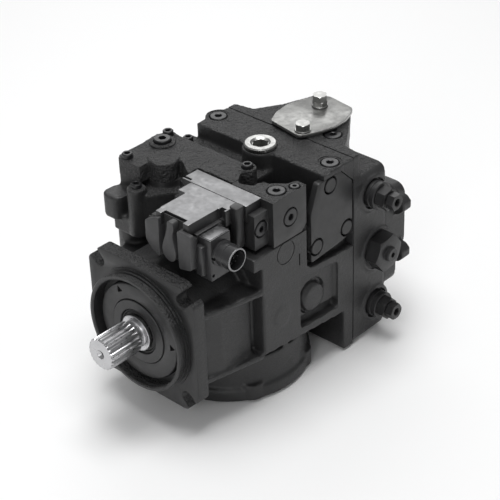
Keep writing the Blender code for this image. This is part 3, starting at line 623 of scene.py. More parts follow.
def flange_plate():
    """Four-bolt flange with its open slots, pilot and pilot groove."""
    outline = round_corners(chamfered_square(73.0, FLANGE_CHAMFER), 3.0)
    plate = bevel(cut(prism("Y", outline, 0.0, 15.0), *bolt_slots(0.0, -1.0, 16.0)), 0.9)
    profile = [(0, -12.7), (62.6, -12.7), (PILOT, -11.6), (PILOT, -8.4), (61.6, -8.0),
               (61.6, -3.6), (PILOT, -3.2), (PILOT, 1.0), (PILOT, 6.0), (0, 6.0)]
    pilot = turned("Y", (0, 0), profile, 128)
    shoulder = ring("Y", (0, 0), 60.0, 66.4, -1.2, 4.0, 128)
    return unite(plate, pilot, shoulder)


def body_lump():
    """Everything of the main casting that keeps its as-cast skin."""
    neck = rod("Y", (0, 0), 70.0, 6.0, 92.0, 96)
    barrel = rod("Y", (0, 0), 80.0, 80.0, 221.0, 96)
    outline = [(82, 66), (82, -38), (198, -49), (221, -49), (221, RIDGE_TOP), (174, RIDGE_TOP),
               (174, 80), (70.4, 80), (70.4, 66)]
    slab = prism("X", outline, -HALF, HALF)
    shelf = [(-97, 70.4), (-77, 70.4), (-72, 60), (-50, 60), (-32, 86), (-18, 88), (-18, 70.4),
             (19.4, 70.4), (19.4, 176), (-97, 176)]
    seat = [(-97, 70.4), (-71, 70.4), (-71, 88)] + arc(COVER_BOSS, 16.4, 195, 330, 24)
    seat += [(-37, 97), (-27, 92), (-18, 86), (-18, 70.4), (19.4, 70.4), (19.4, 143), (-97, 143)]
    foot = turned("Z", FOOT, [(0, -100), (84, -100), (84, -86), (80.5, -83), (80.5, -50),
                              (0, -50)], 96)
    servo = rod("Z", SERVO, 18.4, -72.0, 70.0)
    flange = prism("Y", chamfered_square(72.4, FLANGE_CHAMFER), 1.0, 14.5)
    solids = [neck, slab, foot, servo, flange, prism("Z", shelf, 60.0, SHELF_TOP),
              prism("Z", seat, 90.0, COVER_SEAT + 2.0),
              box((-97, 120, 90), (19.4, 176, VALLEY_FLOOR)),
              box((-HALF, 204.8, -99.0), (HALF, 221, -48.0))]
    for low in (34.0, -42.0):
        for side in (-1, 1):
            rib = [(side * 50, 12), (side * 72.0, 12), (side * HALF, 82), (side * 50, 82)]
            solids.append(prism("Z", rib, low, low + 6))
    for side in (-1, 1):
        panel = [(side * 40, 10), (side * 66, 10), (side * 75, 34), (side * 75, 84),
                 (side * 40, 84)]
        solids.append(prism("Z", panel, -38, 36))
    solids.append(rod("Z", FILL_PLUG, 19.0, 100.0, 129.6))
    solids.append(rod("Z", LUG, 9.9, 58.0, LUG_TOP + 0.4, 40))
    solids.append(prism("Z", rounded(-101.4, 46, -76, 72, 9), 72.0, 97.4))
    solids.append(box((-90, 52, 56), (-62, 72, 76)))
    solids += [rod("Z", place, 14.0, 110.0, RIDGE_TOP + 0.5, 40) for place in RIDGE_PLUGS]
    solids += [rod("Z", place, 14.5, -100.0, -80.0, 24) for place in foot_screw_places()]
    solids.append(prism("X", [(118, -40), (124, -40), (124, -90), (118, -90)], -80, 80))
    lump = unite(barrel, *solids)
    outline = round_corners([(137, 28), (195, 18), (195, -38), (137, -34)], 5.0)
    pockets = [prism("X", outline, x, x + 20) for x in (82.6, -102.6)]
    outline = round_corners([(137, -24), (195, -26), (195, -38), (137, -34)], 3.0)
    trough = [prism("X", outline, x, x + 16) for x in (77.0, -93.0)]
    moat = [ring("X", (158, -6), 15.0, 19.5, x, x + 16) for x in (78.4, -94.4)]
    moat += [box((x, 75.5, -36.5), (x + 25.0, 82.6, 33.6)) for x in (70.0, -95.0)]
    valley = box((19.0, 147.3, 80), (95, 174, 150))
    outline = [(148, 53), (148, 36), (155, 31.5), (219.5, 26), (223, 26), (223, 42),
               (205, 41), (156, 38), (153.6, 53)]
    gutter = prism("X", round_corners(outline, 2.5), 77.0, 95)
    gap = box((79.5, 147.4, 46), (95, 153.4, 82))
    slots = bolt_slots(1.2, -2.0, 40.0)
    lump = cut(lump, *pockets, *trough, *moat, valley, gutter, gap, *slots)
    discs = [rod("X", (160, -9), 15.0, low, low + 6.0) for low in (-85.0, 79.0)]
    return unite(lump, *discs, rod("X", (109, -4), 11.0, 80.0, 88.0))


def cavity_tools():
    """The hollow that the rotating group, the servo and the feedback link move in."""
    horn = [(82, 56), (130, 56), (130, 66), (115, 108), (97, 108), (82, 66)]
    seat = [(0, -14), (60.2, -14), (60.2, -12.7), (59, -11.5), (59, 2), (0, 2)]
    return [rod("Y", (0, 0), 64.0, 36.0, 222.0, 96),
            box((-75, 60, -18), (-50, 100, 18)),
            rod("Z", SERVO, 15.6, -52.0, 52.0, 32),
            box((-54, 82, 40), (-29, 134, 60)), box((-41.2, 73, 40), (-31.8, 90, 54.8)),
            prism("X", horn, -51.5, -41.0),
            rod("X", (TILT_Y, 100.0), 3.7, -60.0, -24.0, 24),
            turned("Y", (0, 0), seat, 128),
            rod("Y", (0, 0), 35.4, 1.0, 8.0, 64),
            rod("Y", (0, 0), 30.0, 7.0, 13.0),
            rod("Y", (0, 0), 38.4, 11.6, 37.0, 64)]


def saddles():
    """The two round seats that carry the swashplate's cradle bearings."""
    made = []
    for x in (-42.0, 26.0):
        seat = box((x - 1.0, 34.0, -45.0), (x + 17.0, 67.0, 45.0))
        made.append(cut(seat, rod("X", (TILT_Y, 0), 49.8, x - 2, x + 18, 96)))
    return made


def side_outline(grow=0.0):
    """The side plate's outline, larger by grow."""
    g = grow
    return [(154.5 - g, 92), (166 - g, 122 + g), (200, 122 + g), (218.2 + g, 104),
            (218.2 + g, 44 - g), (205, 40 - g), (154.5 - g, 36 - g)]


def housing():
    """The main casting: the rough lump, then its machined faces and bores."""
    lump = thinned(ripple(cast(body_lump(), 1.5), 0.28, 9.0, 3), 0.4)
    flats = [box((-120, 219.0, -140), (120, 240, 160)), box((-120, 60.0, 113.0), (31, 143.6, 122)),
             box((-110, 20, -110), (110, 240, -98.0)),
             prism("X", side_outline(0.8), 79.0, 95.0),
             box((19.8, 69.0, 80.4), (95, 173.4, 122))]
    lump = cut(lump, *flats, ring("X", (116, 68), 11.8, 12.9, 86.2, 95.0, 64),
               prism("X", rounded(135.2, 43, 136.8, 57, 0.7), 86.0, 95.0))
    outline = round_corners([(165.6, 23.4), (165.6, 20.6), (188, 18.0), (188, 20.8)], 1.2)
    dash = prism("X", outline, 80.0, 84.0)
    lump = unite(lump, flange_plate(), bevel(dash, 0.5))
    lump = cut(lump, *cavity_tools())
    lump = unite(lump, *saddles())
    tools = [rod("Z", FILL_PLUG, 14.4, 108.0, 140.0), rod("Z", FILL_PLUG, 17.6, 129.0, 140.0, 64)]
    for place in RIDGE_PLUGS:
        tools.append(rod("Z", place, 12.4, RIDGE_TOP - 0.2, RIDGE_TOP + 5, 40))
        tools.append(plug_well("Z", place, RIDGE_TOP - 0.2, 9.0))
    return cut(lump, *tools)


def end_cap_lump():
    body = prism("Y", rounded(-HALF, -100.0, HALF, 101.0, 9), 218.0, CAP_REAR)
    crown = [(-86, 216), (86, 216), (86, 230.5), (62, 235), (56, 246), (45, 262), (29, 284),
             (-33, 299), (-46, 262), (-56, 246), (-62, 235), (-86, 230.5)]
    crest = cut(prism("Z", crown, 88.0, RIDGE_TOP), box((-70, CAP_REAR + 1.0, 80), (70, 310, 106)))
    pad = prism("Z", port_outline(0.96), 118.0, PAD_TOP + 1.5)
    rear = prism("Y", rounded(-84, -62, 84, 66, 14), CAP_REAR - 4, 278.4)
    solids = [crest, pad, rear]
    solids += [rod("X", valve, 21.0, 60.0, 89.0) for valve in (UPPER_VALVE, LOWER_VALVE)]
    solids.append(rod("X", MIDDLE_VALVE, 25.5, 60.0, 88.4))
    solids += [rod("Y", place, 12.0, 230.0, CAP_REAR + 2.0, 32) for place in CAP_BOLTS]
    return unite(body, *solids)


def port_outline(share=1.0):
    """The port plate's outline, scaled about its middle."""
    x, y = PORT_MIDDLE
    corners = [(-23.5, 218.5), (18.5, 211.5), (23.8, 215.5), (32, 232), (36.9, 251.7), (35, 270),
               (28.8, 287.5), (24.1, 293.3), (-11.6, 298.4), (-26.6, 283.6), (-34.2, 257.7),
               (-31.6, 236)]
    return round_corners([(x + share * (u - x), y + share * (v - y)) for u, v in corners], 4.0)


def end_cap():
    """The rear casting: ports, kidneys, valve bores and spot faces."""
    tools = [box((-120, 200, -140), (120, CAP_FRONT, 160)),
             box((-120, 276.4, -140), (120, 300, 80)),
             box((-70, 200, PAD_TOP - 0.3), (70, 320, 150))]
    lump = cut(thinned(cast(end_cap_lump(), 1.4), 0.4), *tools)
    front = CAP_FRONT - 1
    tools = [rod("Y", (0, 0), 16.0, front, 278.0), rod("Y", (0, 0), 22.4, front, 241.0),
             rod("Z", (0, 252), 12.7, 100.0, PAD_TOP + 1)]
    for side in (-1, 1):
        outline = arc((0, 0), 47.0, -60, 60, 24) + arc((0, 0), 34.0, 60, -60, 24)
        tools.append(prism("Y", [(side * u, v) for u, v in outline], front, 240.0))
    for valve, reach in ((UPPER_VALVE, 20.0), (MIDDLE_VALVE, 52.0), (LOWER_VALVE, 20.0)):
        tools.append(rod("X", valve, 12.0, reach, 95.0, 40))
    for valve in (UPPER_VALVE, LOWER_VALVE):
        tools.append(rod("X", valve, 17.4, 85.0, 95.0, 56))
    tools.append(rod("X", MIDDLE_VALVE, 23.0, 87.0, 95.0, 56))
    tools.append(plug_well("Z", CAP_PLUG, RIDGE_TOP, 9.0))
    tools += [rod("Y", place, 10.0, CAP_REAR, CAP_REAR + 5, 32) for place in CAP_BOLTS]
    return cut(lump, *tools)


def rear_cover():
    body = prism("Y", rounded(-84, -58, 84, 62, 14), REAR_SEAT - 3, 296.0)
    pad = prism("Y", rounded(-84, -20, 84, 58, 12), 288.0, REAR_END + 2)
    lower = prism("Y", rounded(-74, -58, 74, 0, 12), 288.0, REAR_LOW)
    solids = [pad, lower]
    for side in (-1, 1):
        for z in (41.0, -18.0):
            outline = [(side * 60, z - 22), (side * 92, z - 9), (side * 97.5, z - 3),
                       (side * 97.5, z + 5), (side * 92, z + 10), (side * 60, z + 18)]
            solids.append(prism("Y", outline, 289.0, 303.0))
    lump = thinned(cast(unite(body, *solids), 1.4), 0.35)
    tools = [box((-120, 260, -80), (120, REAR_SEAT, 90)),
             box((-120, REAR_END, -80), (120, 330, 90)),
             rod("Y", (2.5, 0), 31.6, REAR_SEAT - 1, 293.4, 64)]
    for x, z in REAR_SCREWS:
        face = REAR_END if z > 0 else REAR_LOW
        tools.append(rod("Y", (x, z), 9.0, face - 0.6, face + 6, 32))
    tools.append(ring("Y", (0, 26), 30.0, 32.6, REAR_END - 1.6, REAR_END + 2, 96))
    tools.append(rod("Y", (0, 26), 24.0, REAR_END - 1.0, REAR_END + 2, 64))
    return cut(lump, *tools)


def top_cover():
    """The textured cover, with its round boss and the seat of the stacked plug."""
    outline = [(-92, 66.6), (-61.5, 66.8), (-62, 82), (-55, 94), (-48, 107), (-35, 101), (-25, 95),
               (-16.5, 90), (-16.5, 103.8), (30.6, 103.8), (30.6, 112.4), (25, 120), (21, 128),
               (13, 130), (12, 139.5), (-80, 140), (-90, 142), (-99, 127), (-96, 99), (-97, 72.3)]
    plate = prism("Z", outline, 110.0, COVER_TOP)
    solids = [rod("Z", COVER_BOSS, 15.8, 110.0, COVER_TOP + 2.4, 64),
              rod("Z", COVER_SCREWS[2], 9.2, 110.0, COVER_TOP + 1.2, 32)]
    lump = thinned(ripple(cast(unite(plate, *solids), 1.0), 0.3, 8.0, 8), 0.45)
    profile = [(0, 126.0), (13.7, 126.0), (13.7, COVER_TOP + 1.9), (12.9, COVER_TOP + 2.7),
               (0, COVER_TOP + 2.7)]
    lump = unite(lump, turned("Z", COVER_PLUG, profile, 64))
    tools = [box((-120, 50, 100), (50, 190, COVER_SEAT + 0.3)),
             rod("Z", COVER_PLUG, 9.6, COVER_TOP - 1.0, COVER_TOP + 6.0, 40)]
    tools += [rod("Z", place, 6.6, COVER_TOP - 0.4, COVER_TOP + 6.0, 32) for place in COVER_SCREWS]
    return cut(lump, *tools)


# -------- turned and machined pieces

def shaft():
    """Splined shaft: teeth with root radii, a chamfered tip and the hob's run-out."""
    teeth = []
    step = 2 * math.pi / TEETH
    shape = ((0.0, CREST), (0.30, CREST), (0.36, 16.9), (0.50, 15.7), (0.58, 15.25),
             (0.72, 15.25), (0.80, 15.7), (0.94, 16.9))
    for k in range(TEETH):
        teeth += [(step * (k + share), radius) for share, radius in shape]
    loops = []
    for along, root, crest in ((-57.0, 14.0, 15.9), (-55.6, 14.0, CREST), (-27.0, 14.0, CREST),
                               (-23.0, 15.6, CREST), (-20.0, 16.4, CREST), (-18.6, 16.9, CREST),
                               (-18.0, 16.2, 16.4)):
        cut_back = [(a, min(max(r, root), crest)) for a, r in teeth]
        loops.append([(r * math.cos(a), r * math.sin(a), along) for a, r in cut_back])
    tip = loft("Y", loops)
    profile = [(0, -20.0), (13.8, -20.0), (13.8, -12.0), (14.6, -10.9), (18.8, -10.5),
               (19.4, -10.0), (19.4, -7.0), (17.5, -7.0), (17.5, 10.0), (22.6, 10.0),
               (22.6, 33.6), (15.0, 40.0), (15.0, 124.0), (13.8, 126.0), (13.8, 208.0),
               (11.8, 212.0), (11.8, 262.0), (9.0, 264.0), (9.0, 291.0), (0, 291.0)]
    body = unite(turned("Y", (0, 0), profile, 64), tip)
    centre = [(0, -60.0), (5.2, -60.0), (5.0, -56.8), (2.2, -54.0), (2.0, -46.0), (0, -45.0)]
    return cut(body, turned("Y", (0, 0), centre, 32))


def bearing_cover():
    """The ring inside the pilot, with its three shallow marks."""
    profile = [(35.5, 1.7), (35.5, -5.6), (35.9, -6.0), (51.6, -6.0), (53.0, -4.8), (53.0, 1.7)]
    made = turned("Y", (0, 0), profile, 96)
    tools = []
    for degrees in (121.0, 1.0, -119.0):
        a = math.radians(degrees)
        place = (46.0 * math.cos(a), 46.0 * math.sin(a))
        pull = [(place[0] + r * math.cos(t + a), place[1] + r * math.sin(t + a))
                for r, t in ((4.6, 0.0), (4.4, 2.1), (4.4, -2.1))]
        tools.append(prism("Y", round_corners(pull, 1.2), -8.0, -3.0))
    return bevel(cut(made, *tools), 0.3, 1)


def seal_carrier():
    profile = [(24.4, -6.0), (25.2, -7.0), (34.4, -7.0), (35.0, -6.4), (35.0, 7.6), (31.0, 7.6),
               (24.4, 5.0)]
    return turned("Y", (0, 0), profile, 96)


def shaft_seal():
    profile = [(18.2, -4.2), (19.2, -5.2), (20.4, -4.2), (21.6, -4.0), (22.6, -5.4), (23.6, -5.6),
               (24.2, -5.0), (24.2, 4.5), (21.0, 4.5), (21.0, -2.0), (18.2, 1.0)]
    return turned("Y", (0, 0), profile, 96)


def fill_plug():
    top = 134.0
    body = rod("Z", FILL_PLUG, 14.0, 109.0, 131.0, 64)
    rim = turned("Z", FILL_PLUG, [(0, 129.6), (16.2, 129.6), (16.8, 130.4), (16.8, top - 1.2),
                                  (15.6, top), (0, top)], 96)
    key = rod("Z", FILL_PLUG, 8.8, 122.0, 136.0, 6, 10)
    lead = turned("Z", FILL_PLUG, [(0, top - 1.6), (8.2, top - 1.6), (11.2, top + 0.4),
                                   (0, top + 0.4)], 64)
    return cut(unite(body, rim), key, lead)


def port_cover():
    return bevel(prism("Z", port_outline(), PAD_TOP, PORT_PLATE_TOP), 0.7)


def port_bolts():
    """The near bolt and the taller, two-storey far one, each on its washer."""
    top = PORT_PLATE_TOP
    near, far = PORT_BOLTS
    washer = [(0, top), (8.2, top), (8.6, top + 0.4), (8.6, top + 1.3), (8.2, top + 1.7),
              (0, top + 1.7)]
    made = [turned("Z", place, washer, 40) for place in (near, far)]
    made[0] = unite(made[0], hex_head("Z", near, top + 1.0, 8.2, 7.6, 14.0))
    made[1] = unite(made[1], hex_head("Z", far, top + 1.0, 8.0, 5.6, 30.0),
                    hex_head("Z", far, top + 6.2, 8.2, 7.0, 10.0))
    return joined(made)


def side_cover():
    plate = bevel(prism("X", round_corners(side_outline(), 3.0), 79.4, 86.4), 0.6)
    profile = [(0, 81.5), (9.6, 81.5), (9.6, 85.6), (10.4, 86.8), (0, 86.8)]
    return cut(plate, *[turned("X", place, profile) for place in SIDE_SCREWS])


def side_screw_heads():
    """The three flat round heads of the side plate."""
    profile = [(0, 81.5), (7.8, 81.5), (7.8, 86.2), (7.2, 86.8), (0, 86.8)]
    return joined([turned("X", place, profile, 40) for place in SIDE_SCREWS])


def bottom_cover():
    """The round cover under the foot, with its six sunk screw heads."""
    profile = [(0, BASE_Z), (80.6, BASE_Z), (82, -99.8), (82, -98.3), (0, -98.3)]
    places = foot_screw_places()
    disc = cut(turned("Z", FOOT, profile, 96),
               *[rod("Z", place, 6.4, BASE_Z - 1, BASE_Z + 1.2, 32) for place in places])
    heads = [cut(rod("Z", place, 5.6, BASE_Z + 0.2, BASE_Z + 1.8, 32, 0, 0.3),
                 rod("Z", place, 2.9, BASE_Z - 1, BASE_Z + 1.4, 6)) for place in places]
    return unite(disc, *heads)


# -------- displacement control

def control_body():
    """The control's casting, hollowed behind, with room for the machined plate in front."""
    main = box((31.0, 99.0, 81.0), (HALF, 147.0, COVER_TOP))
    step = box((50.0, 80.0, 84.0), (STEP_SIDE, 102.0, 122.0))
    foot = box((19.8, 70.4, 81.0), (54.2, 103.5, COVER_SEAT + 1))
    solid = unite(main, step, foot)
    hollow = [(20, 113), (29, 112.5), (35.8, 106.9), (50.5, 112.9), (49, 120), (57, 124), (63, 130),
              (72.5, 137), (74, 144.5), (80, 150), (20, 150)]
    cover_room = prism("Z", [(-17, 103.6), (30.8, 103.6), (30.8, 148), (-17, 148)], 112.9, 134.0)
    corner = prism("X", [(139, 80), (148, 89), (148, 80)], 60.0, 90.0)
    solid = cut(solid, corner, cover_room,
                prism("Z", round_corners(hollow, 3.0), 113.6, 140.0),
                box((-20.0, 70.0, 112.0), (71.4, 101.8, 140.0)))
    return cut(bevel(solid, 1.2, 3), rod("X", (124, 105), 6.8, 24.0, 79.0, 32),
               *[plug_well(*plug) for plug in CONTROL_PLUGS])


def control_plate():
    """The bare machined plate, with the notch at its left end."""
    outline = [(-14.6, 79.2), (71.0, 79.2), (71.0, 101.0), (-14.6, 101.0), (-14.6, 84.0),
               (-5.0, 84.0), (-5.0, 81.4), (-14.6, 81.4)]
    return bevel(prism("Z", outline, COVER_SEAT + 0.3, COVER_TOP), 0.5)


def torque_motor_body():
    """The metal block, with the head that reaches back to the control plate."""
    block = box((8.5, 26.0, 80.0), (52.8, 69.8, COVER_TOP))
    base = box((-4.0, 26.0, 80.0), (57.0, 69.8, 119.0))
    head = box((8.5, 60.0, 114.0), (62.0, 78.6, COVER_TOP))
    ear = box((-1.5, 60.6, 114.0), (9.0, 78.6, COVER_TOP))
    tabs = [box((low, 19.4, 119.0), (low + 7.2, 27.0, COVER_TOP)) for low in (9.4, 45.6)]
    solid = unite(block, base, head, ear, *tabs)
    notch = box((53.6, 58.0, 120.0), (60.0, 64.0, 133.0))
    return bevel(cut(solid, notch), 0.7)


def side_bar():
    """Upright round-cornered bar beside the torque motor."""
    return bevel(prism("Z", rounded(58.6, 67.0, 70.4, 78.6, 4.0), 88.0, COVER_TOP + 1.4), 1.0, 3)


def torque_motor_cover():
    """Moulded front: three tall ribs with deep gaps, the middle one keyhole shaped."""
    outline = [(-4, 95), (8, 85), (57, 81), (57, 118.6), (45.2, 118.6), (45.2, 129.4),
               (17.1, 129.4), (17.1, 118.6), (-4, 118.6)]
    plate = prism("Y", outline, 22.6, 23.7)
    left = [(-2.5, 97), (6.9, 87.5), (15.6, 83), (16.9, 128.0), (-1.9, 119.0)]
    middle = [(25, 85), (31, 83.5), (36.5, 87), (38.4, 95), (34.9, 110), (34.9, 116), (37, 121),
              (36.5, 129), (28.5, 129), (27.8, 121), (26.3, 115), (23, 107), (19.5, 97), (20.5, 89)]
    right = [(41.4, 80.5), (58, 84), (60.0, 123.0), (41.0, 123.0)]
    ribs = [cut(bevel(prism("Y", round_corners(rib, 3.0), 15.0, 23.4), 0.6),
                box((-6.0, 19.1, 118.6), (17.1, 26.0, 135.0)),
                box((45.2, 19.1, 118.6), (64.0, 26.0, 135.0)))
            for rib in (left, middle, right)]
    return unite(plate, *ribs)


def connector_shell():
    """The square socket block and its round collar."""
    block = bevel(box((57.3, 27.5, 72.0), (72.5, 55.0, 117.5)), 1.2, 3)
    flange = bevel(box((57.3, 22.0, 78.0), (66.0, 58.0, 110.0)), 1.0)
    profile = [(0, 70), (13.2, 70), (13.2, 74.4), (12.0, 75.4), (12.0, 79), (12.5, 79.4),
               (12.5, 82.4), (12.0, 82.8), (12.0, 92.4), (11.6, 93), (0, 93)]
    solid = unite(block, flange, turned("X", CONNECTOR, profile, 64))
    ledge = prism("Y", [(58.4, 117.0), (71.4, 117.0), (71.4, 118.2), (58.4, 118.2)], 28.6, 54.0)
    solid = unite(solid, bevel(ledge, 0.3))
    return cut(solid, rod("X", CONNECTOR, 10.4, 80.0, 95.0, 64),
               *[rod("X", (30.0, z), 1.8, 64.0, 76.0, 20) for z in (78.0, 98.0)])


def connector_insert():
    """The insert with seven pins and a key."""
    u, v = CONNECTOR
    face = rod("X", CONNECTOR, 9.6, 80.4, 83.0, chamfer=0.4)
    angles = [k * math.pi / 3 for k in range(6)]
    places = [CONNECTOR] + [(u + 5.6 * math.cos(a), v + 5.6 * math.sin(a)) for a in angles]
    pins = [turned("X", place, [(0, 82.0), (1.0, 82.0), (1.0, 87.2), (0.5, 88.0), (0, 88.0)], 16)
            for place in places]
    key = box((81.0, u - 1.1, v + 7.6), (87.0, u + 1.1, v + 9.4))
    return unite(face, key, *pins)


# -------- valves

def cartridge(valve, tip):
    """Multifunction valve body: thread, collar, hexagon nose."""
    profile = [(0, 22.0), (11.6, 22.0), (11.6, 86.0), (14.4, 86.0), (15.0, 86.6), (15.0, 92.0),
               (14.3, 92.5), (14.3, 93.3), (15.0, 93.8), (15.0, 98.2), (14.2, 99.0), (0, 99.0)]
    body = turned("X", valve, profile, 64)
    nose = hex_head("X", valve, 97.0, 12.6, tip - 9.0 - 97.0, 15.0)
    return cut(unite(body, nose), rod("X", valve, 7.4, 84.0, tip, 40))


def bypass_hex(valve, tip):
    """The turning hexagon at a cartridge's tip, with its key socket."""
    stem = rod("X", valve, 6.8, 86.0, tip - 6.0, 40)
    nut = hex_head("X", valve, tip - 8.4, 9.4, 8.4, 0.0)
    key = rod("X", valve, 4.4, tip - 5.0, tip + 1, 6, 30)
    lead = turned("X", valve, [(0, tip - 0.7), (4.0, tip - 0.7), (5.2, tip + 0.3),
                               (0, tip + 0.3)], 32)
    return cut(unite(stem, nut), key, lead)


def charge_relief_valve():
    hexagon = hex_head("X", MIDDLE_VALVE, 87.4, 21.6, 15.6, 8.0)
    stem = rod("X", MIDDLE_VALVE, 11.6, 66.0, 90.0)
    profile = [(0, 102.0), (9.2, 102.0), (8.2, 103.4), (8.0, 106.8), (7.0, 108.0), (0, 108.0)]
    solid = unite(hexagon, stem, turned("X", MIDDLE_VALVE, profile))
    return cut(solid, rod("X", MIDDLE_VALVE, 8.6, 64.0, 80.0),
               rod("X", MIDDLE_VALVE, 3.2, 104.0, 109.0, 6))


def plug_group():
    """Flush gallery plugs of the ridge, the end cap and the control."""
    return joined([flush_plug(*plug) for plug in GALLERY_PLUGS + CONTROL_PLUGS])


def stacked_plug():
    profile = [(0, 128.0), (8.8, 128.0), (8.8, 136.2), (8.0, 137.0), (0, 137.0)]
    return cut(turned("Z", COVER_PLUG, profile),
               rod("Z", COVER_PLUG, 4.4, COVER_TOP + 2.0, COVER_TOP + 7, 6))


# -------- which faces take which material

def tops(centre, normal):
    return (normal[:, 2] > 0.55) & (centre[:, 2] > 100.0)


def rough_lit_tops(centre, normal):
    """The casting's tops and the flange's upper edge, whose lighter paint is painted light."""
    return tops(centre, normal) | (normal[:, 2] > 0.5) & (centre[:, 1] < 15.4)


def flange_front(centre, normal):
    return (centre[:, 1] < 0.6) & (abs(normal[:, 1]) > 0.9)


def bare_top(centre, normal):
    return (normal[:, 2] > 0.5) & (centre[:, 2] > 130.0)


def connector_top(centre, normal):
    """The socket block's top and the collar's rim."""
    return ((normal[:, 2] > 0.5) & (centre[:, 2] > 117.3)) | (centre[:, 0] > 92.0)


# Painted shade: the cover's faces behind the ribs, seen in the deep gaps, take the near-black
# finish.
def shaded_gaps_behind_ribs(centre, normal):
    return centre[:, 1] > 19.6


# Painted shade: the recessed spot faces round the upper and lower valves take the near-black
# finish.
def spot_face_shade(centre, normal):
    near = np.zeros(len(centre), dtype=bool)
    for y, z in (UPPER_VALVE, LOWER_VALVE):
        near |= (np.hypot(centre[:, 1] - y, centre[:, 2] - z) < 18.6) & (centre[:, 0] > 78.0)
    return near


# Painted highlight: the plate's rim and bevels take the brighter zinc finish.
def plate_rim_highlight(centre, normal):
    return abs(normal[:, 2]) < 0.97


# -------- assembly

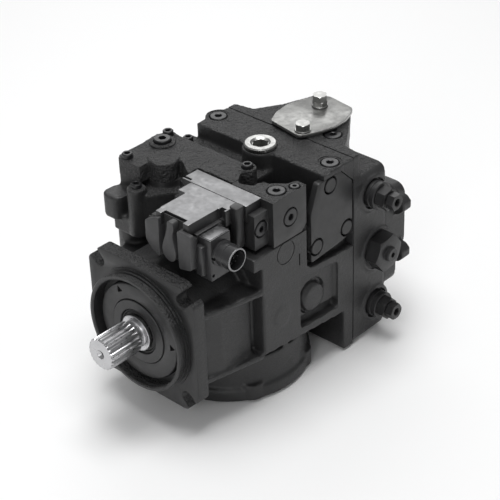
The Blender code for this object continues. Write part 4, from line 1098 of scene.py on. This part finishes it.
def build():
    # Rough paint, lighter than the skin: painted light on the upward faces, over real rough cast
    # relief.
    rough = cast_paint("paint_rough_lit_tops", 2.6, 4.2, (0.026, 0.026, 0.0265))
    skin = cast_paint("paint_cast", 1.4, 0.3, (0.0185, 0.0185, 0.019))
    smooth = smooth_paint("paint_smooth", (0.016, 0.016, 0.0165))
    even = (1.0, 1.0, 1.0)
    # Bright zinc of the filler plug and bolts, also put on the port plate's rim as a painted
    # highlight.
    zinc = bare_metal("zinc", (0.42, 0.42, 0.41), 0.30, even, 2.4, 0.03, 0.2)
    plate = bare_metal("plate_steel", (0.40, 0.40, 0.39), 0.38, even, 2.4, 0.03, 0.4)
    aluminium = bare_metal("aluminium", (0.30, 0.30, 0.305), 0.42, (1.0, 14.0, 14.0),
                           6.0, 0.02, 0.15)
    steel = bare_metal("steel", (0.55, 0.55, 0.56), 0.3, (1.0, 0.06, 1.0), 2.4, 0.004, 0.08)
    hardened = bare_metal("hardened", (0.50, 0.50, 0.52), 0.30, (1.0, 0.1, 1.0), 0.8, 0.01, 0.15)
    bronze = bare_metal("bronze", (0.55, 0.34, 0.15), 0.34, even, 1.2, 0.012, 0.2)
    # Near-black finish of the screws and plugs, also put on the end cap's spot faces as painted
    # shade.
    oxide_and_shade = moulded("black_oxide_and_shade", (0.009, 0.009, 0.010), 0.36, 0.7, 0.015)
    plastic = moulded("plastic", (0.035, 0.035, 0.036), 0.48, 0.5, 0.03)
    connector = moulded("connector_plastic", (0.02, 0.02, 0.021), 0.34, 0.5, 0.02)
    # Near-black rubber of the lip seal, also put in the torque motor cover's gaps as painted shade.
    rubber = moulded("rubber", (0.010, 0.010, 0.010), 0.62, 0.6, 0.02)
    fibre = moulded("gasket", (0.016, 0.016, 0.017), 0.8, 0.5, 0.05)

    def paint(name, made, finishes, node=None, body="root"):
        """A black painted piece, which may stand for a node."""
        piece(name, made, finishes, "black_paint", body, [node] if node else [])

    paint("housing_casting", finish_faces(housing(), rough_lit_tops, flange_front),
          [skin, rough, smooth], "housing")
    # The end cap's recessed spot faces take the near-black finish as painted shade.
    paint("end_cap_casting", finish_faces(end_cap(), tops, spot_face_shade), [skin, rough, oxide_and_shade],
          "end_cap")
    paint("rear_cover_casting", rear_cover(), skin, "rear_cover")
    piece("control_top_cover", top_cover(), rough, "black_cast", stands_for=["top_cover"])
    paint("bearing_retainer", bearing_cover(), smooth, "bearing_cover")
    paint("seal_housing", seal_carrier(), smooth, "seal_carrier")
    piece("lip_seal", shaft_seal(), rubber, "seal_rubber", stands_for=["shaft_seal"])
    piece("splined_shaft", shaft(), steel, "bright_steel", "shaft", ["drive_shaft"])
    paint("side_plate", side_cover(), smooth, "side_cover")
    paint("bottom_plate", bottom_cover(), smooth, "bottom_cover")
    piece("filler_plug", fill_plug(), zinc, "zinc_plate", stands_for=["fill_plug"])
    # The port plate's rim takes the brighter zinc finish as a painted highlight.
    piece("port_plate", finish_faces(port_cover(), plate_rim_highlight), [plate, zinc], "zinc_plate",
          stands_for=["port_cover"])
    piece("port_plate_bolts", port_bolts(), zinc, "zinc_plate")

    # The control housing's tops take the lighter rough paint as painted light.
    paint("control_housing", finish_faces(control_body(), bare_top), [smooth, rough],
          "control_body")
    piece("control_machined_plate", finish_faces(control_plate(), bare_top), [smooth, aluminium],
          "machined_aluminium")
    piece("torque_motor_case", finish_faces(torque_motor_body(), bare_top), [smooth, aluminium],
          "machined_aluminium", stands_for=["torque_motor_body"])
    paint("torque_motor_bar", side_bar(), smooth)
    # The faces in the gaps between the ribs take the near-black finish as painted shade.
    piece("torque_motor_front", finish_faces(torque_motor_cover(), shaded_gaps_behind_ribs), [plastic, rubber],
          "black_plastic", stands_for=["torque_motor_cover"])
    piece("connector", finish_faces(connector_shell(), connector_top), [connector, aluminium],
          "black_plastic", stands_for=["connector_shell"])
    piece("connector_pins", connector_insert(), connector, "black_plastic",
          stands_for=["connector_insert"])

    sides = {"upper": (UPPER_VALVE, UPPER_TIP), "lower": (LOWER_VALVE, LOWER_TIP)}
    for side, (valve, tip) in sides.items():
        paint(side + "_valve", cartridge(valve, tip), smooth, "multifunction_valve_" + side)
    for side, (valve, tip) in sides.items():
        paint(side + "_bypass_nut", bypass_hex(valve, tip), smooth, "bypass_hex_" + side,
              side + "_bypass")
    paint("relief_valve", charge_relief_valve(), smooth, "charge_relief_valve")

    screws = {"cover_screws": ("Z", COVER_SCREWS, COVER_TOP - 0.4, 5.6, 5.6),
              "lug_screw": ("Z", [LUG], LUG_TOP, 5.6, 5.0),
              "valley_screw": ("Z", [VALLEY_SCREW], VALLEY_FLOOR, 5.4, 5.5),
              "cap_bolts": ("Y", CAP_BOLTS, CAP_REAR, 8.0, 8.0),
              "rear_screws_upper": ("Y", REAR_SCREWS[:2], REAR_END - 0.6, 7.0, 7.0),
              "rear_screws_lower": ("Y", REAR_SCREWS[2:], REAR_LOW - 0.6, 7.0, 7.0)}
    for name, sizes in screws.items():
        paint(name, screw_group(*sizes), oxide_and_shade)
    paint("side_screws", side_screw_heads(), smooth)
    paint("gallery_plugs", plug_group(), oxide_and_shade)
    paint("stacked_plug", stacked_plug(), oxide_and_shade)

    # The CAD nodes that stay take a finish by what they are made of.
    bearings = ["valve_plate", "rear_bearing_bush", "cradle_bearing_left",
                "cradle_bearing_right", "slipper_retainer"]
    finishes = {name: bronze for name in bearings + ["slipper_%d" % k for k in range(1, 10)]}
    finishes["end_cap_gasket"] = fibre
    for name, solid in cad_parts.items():
        for slot in solid.material_slots:
            slot.material = finishes.get(name, hardened)


set_camera()
set_stage()
build()
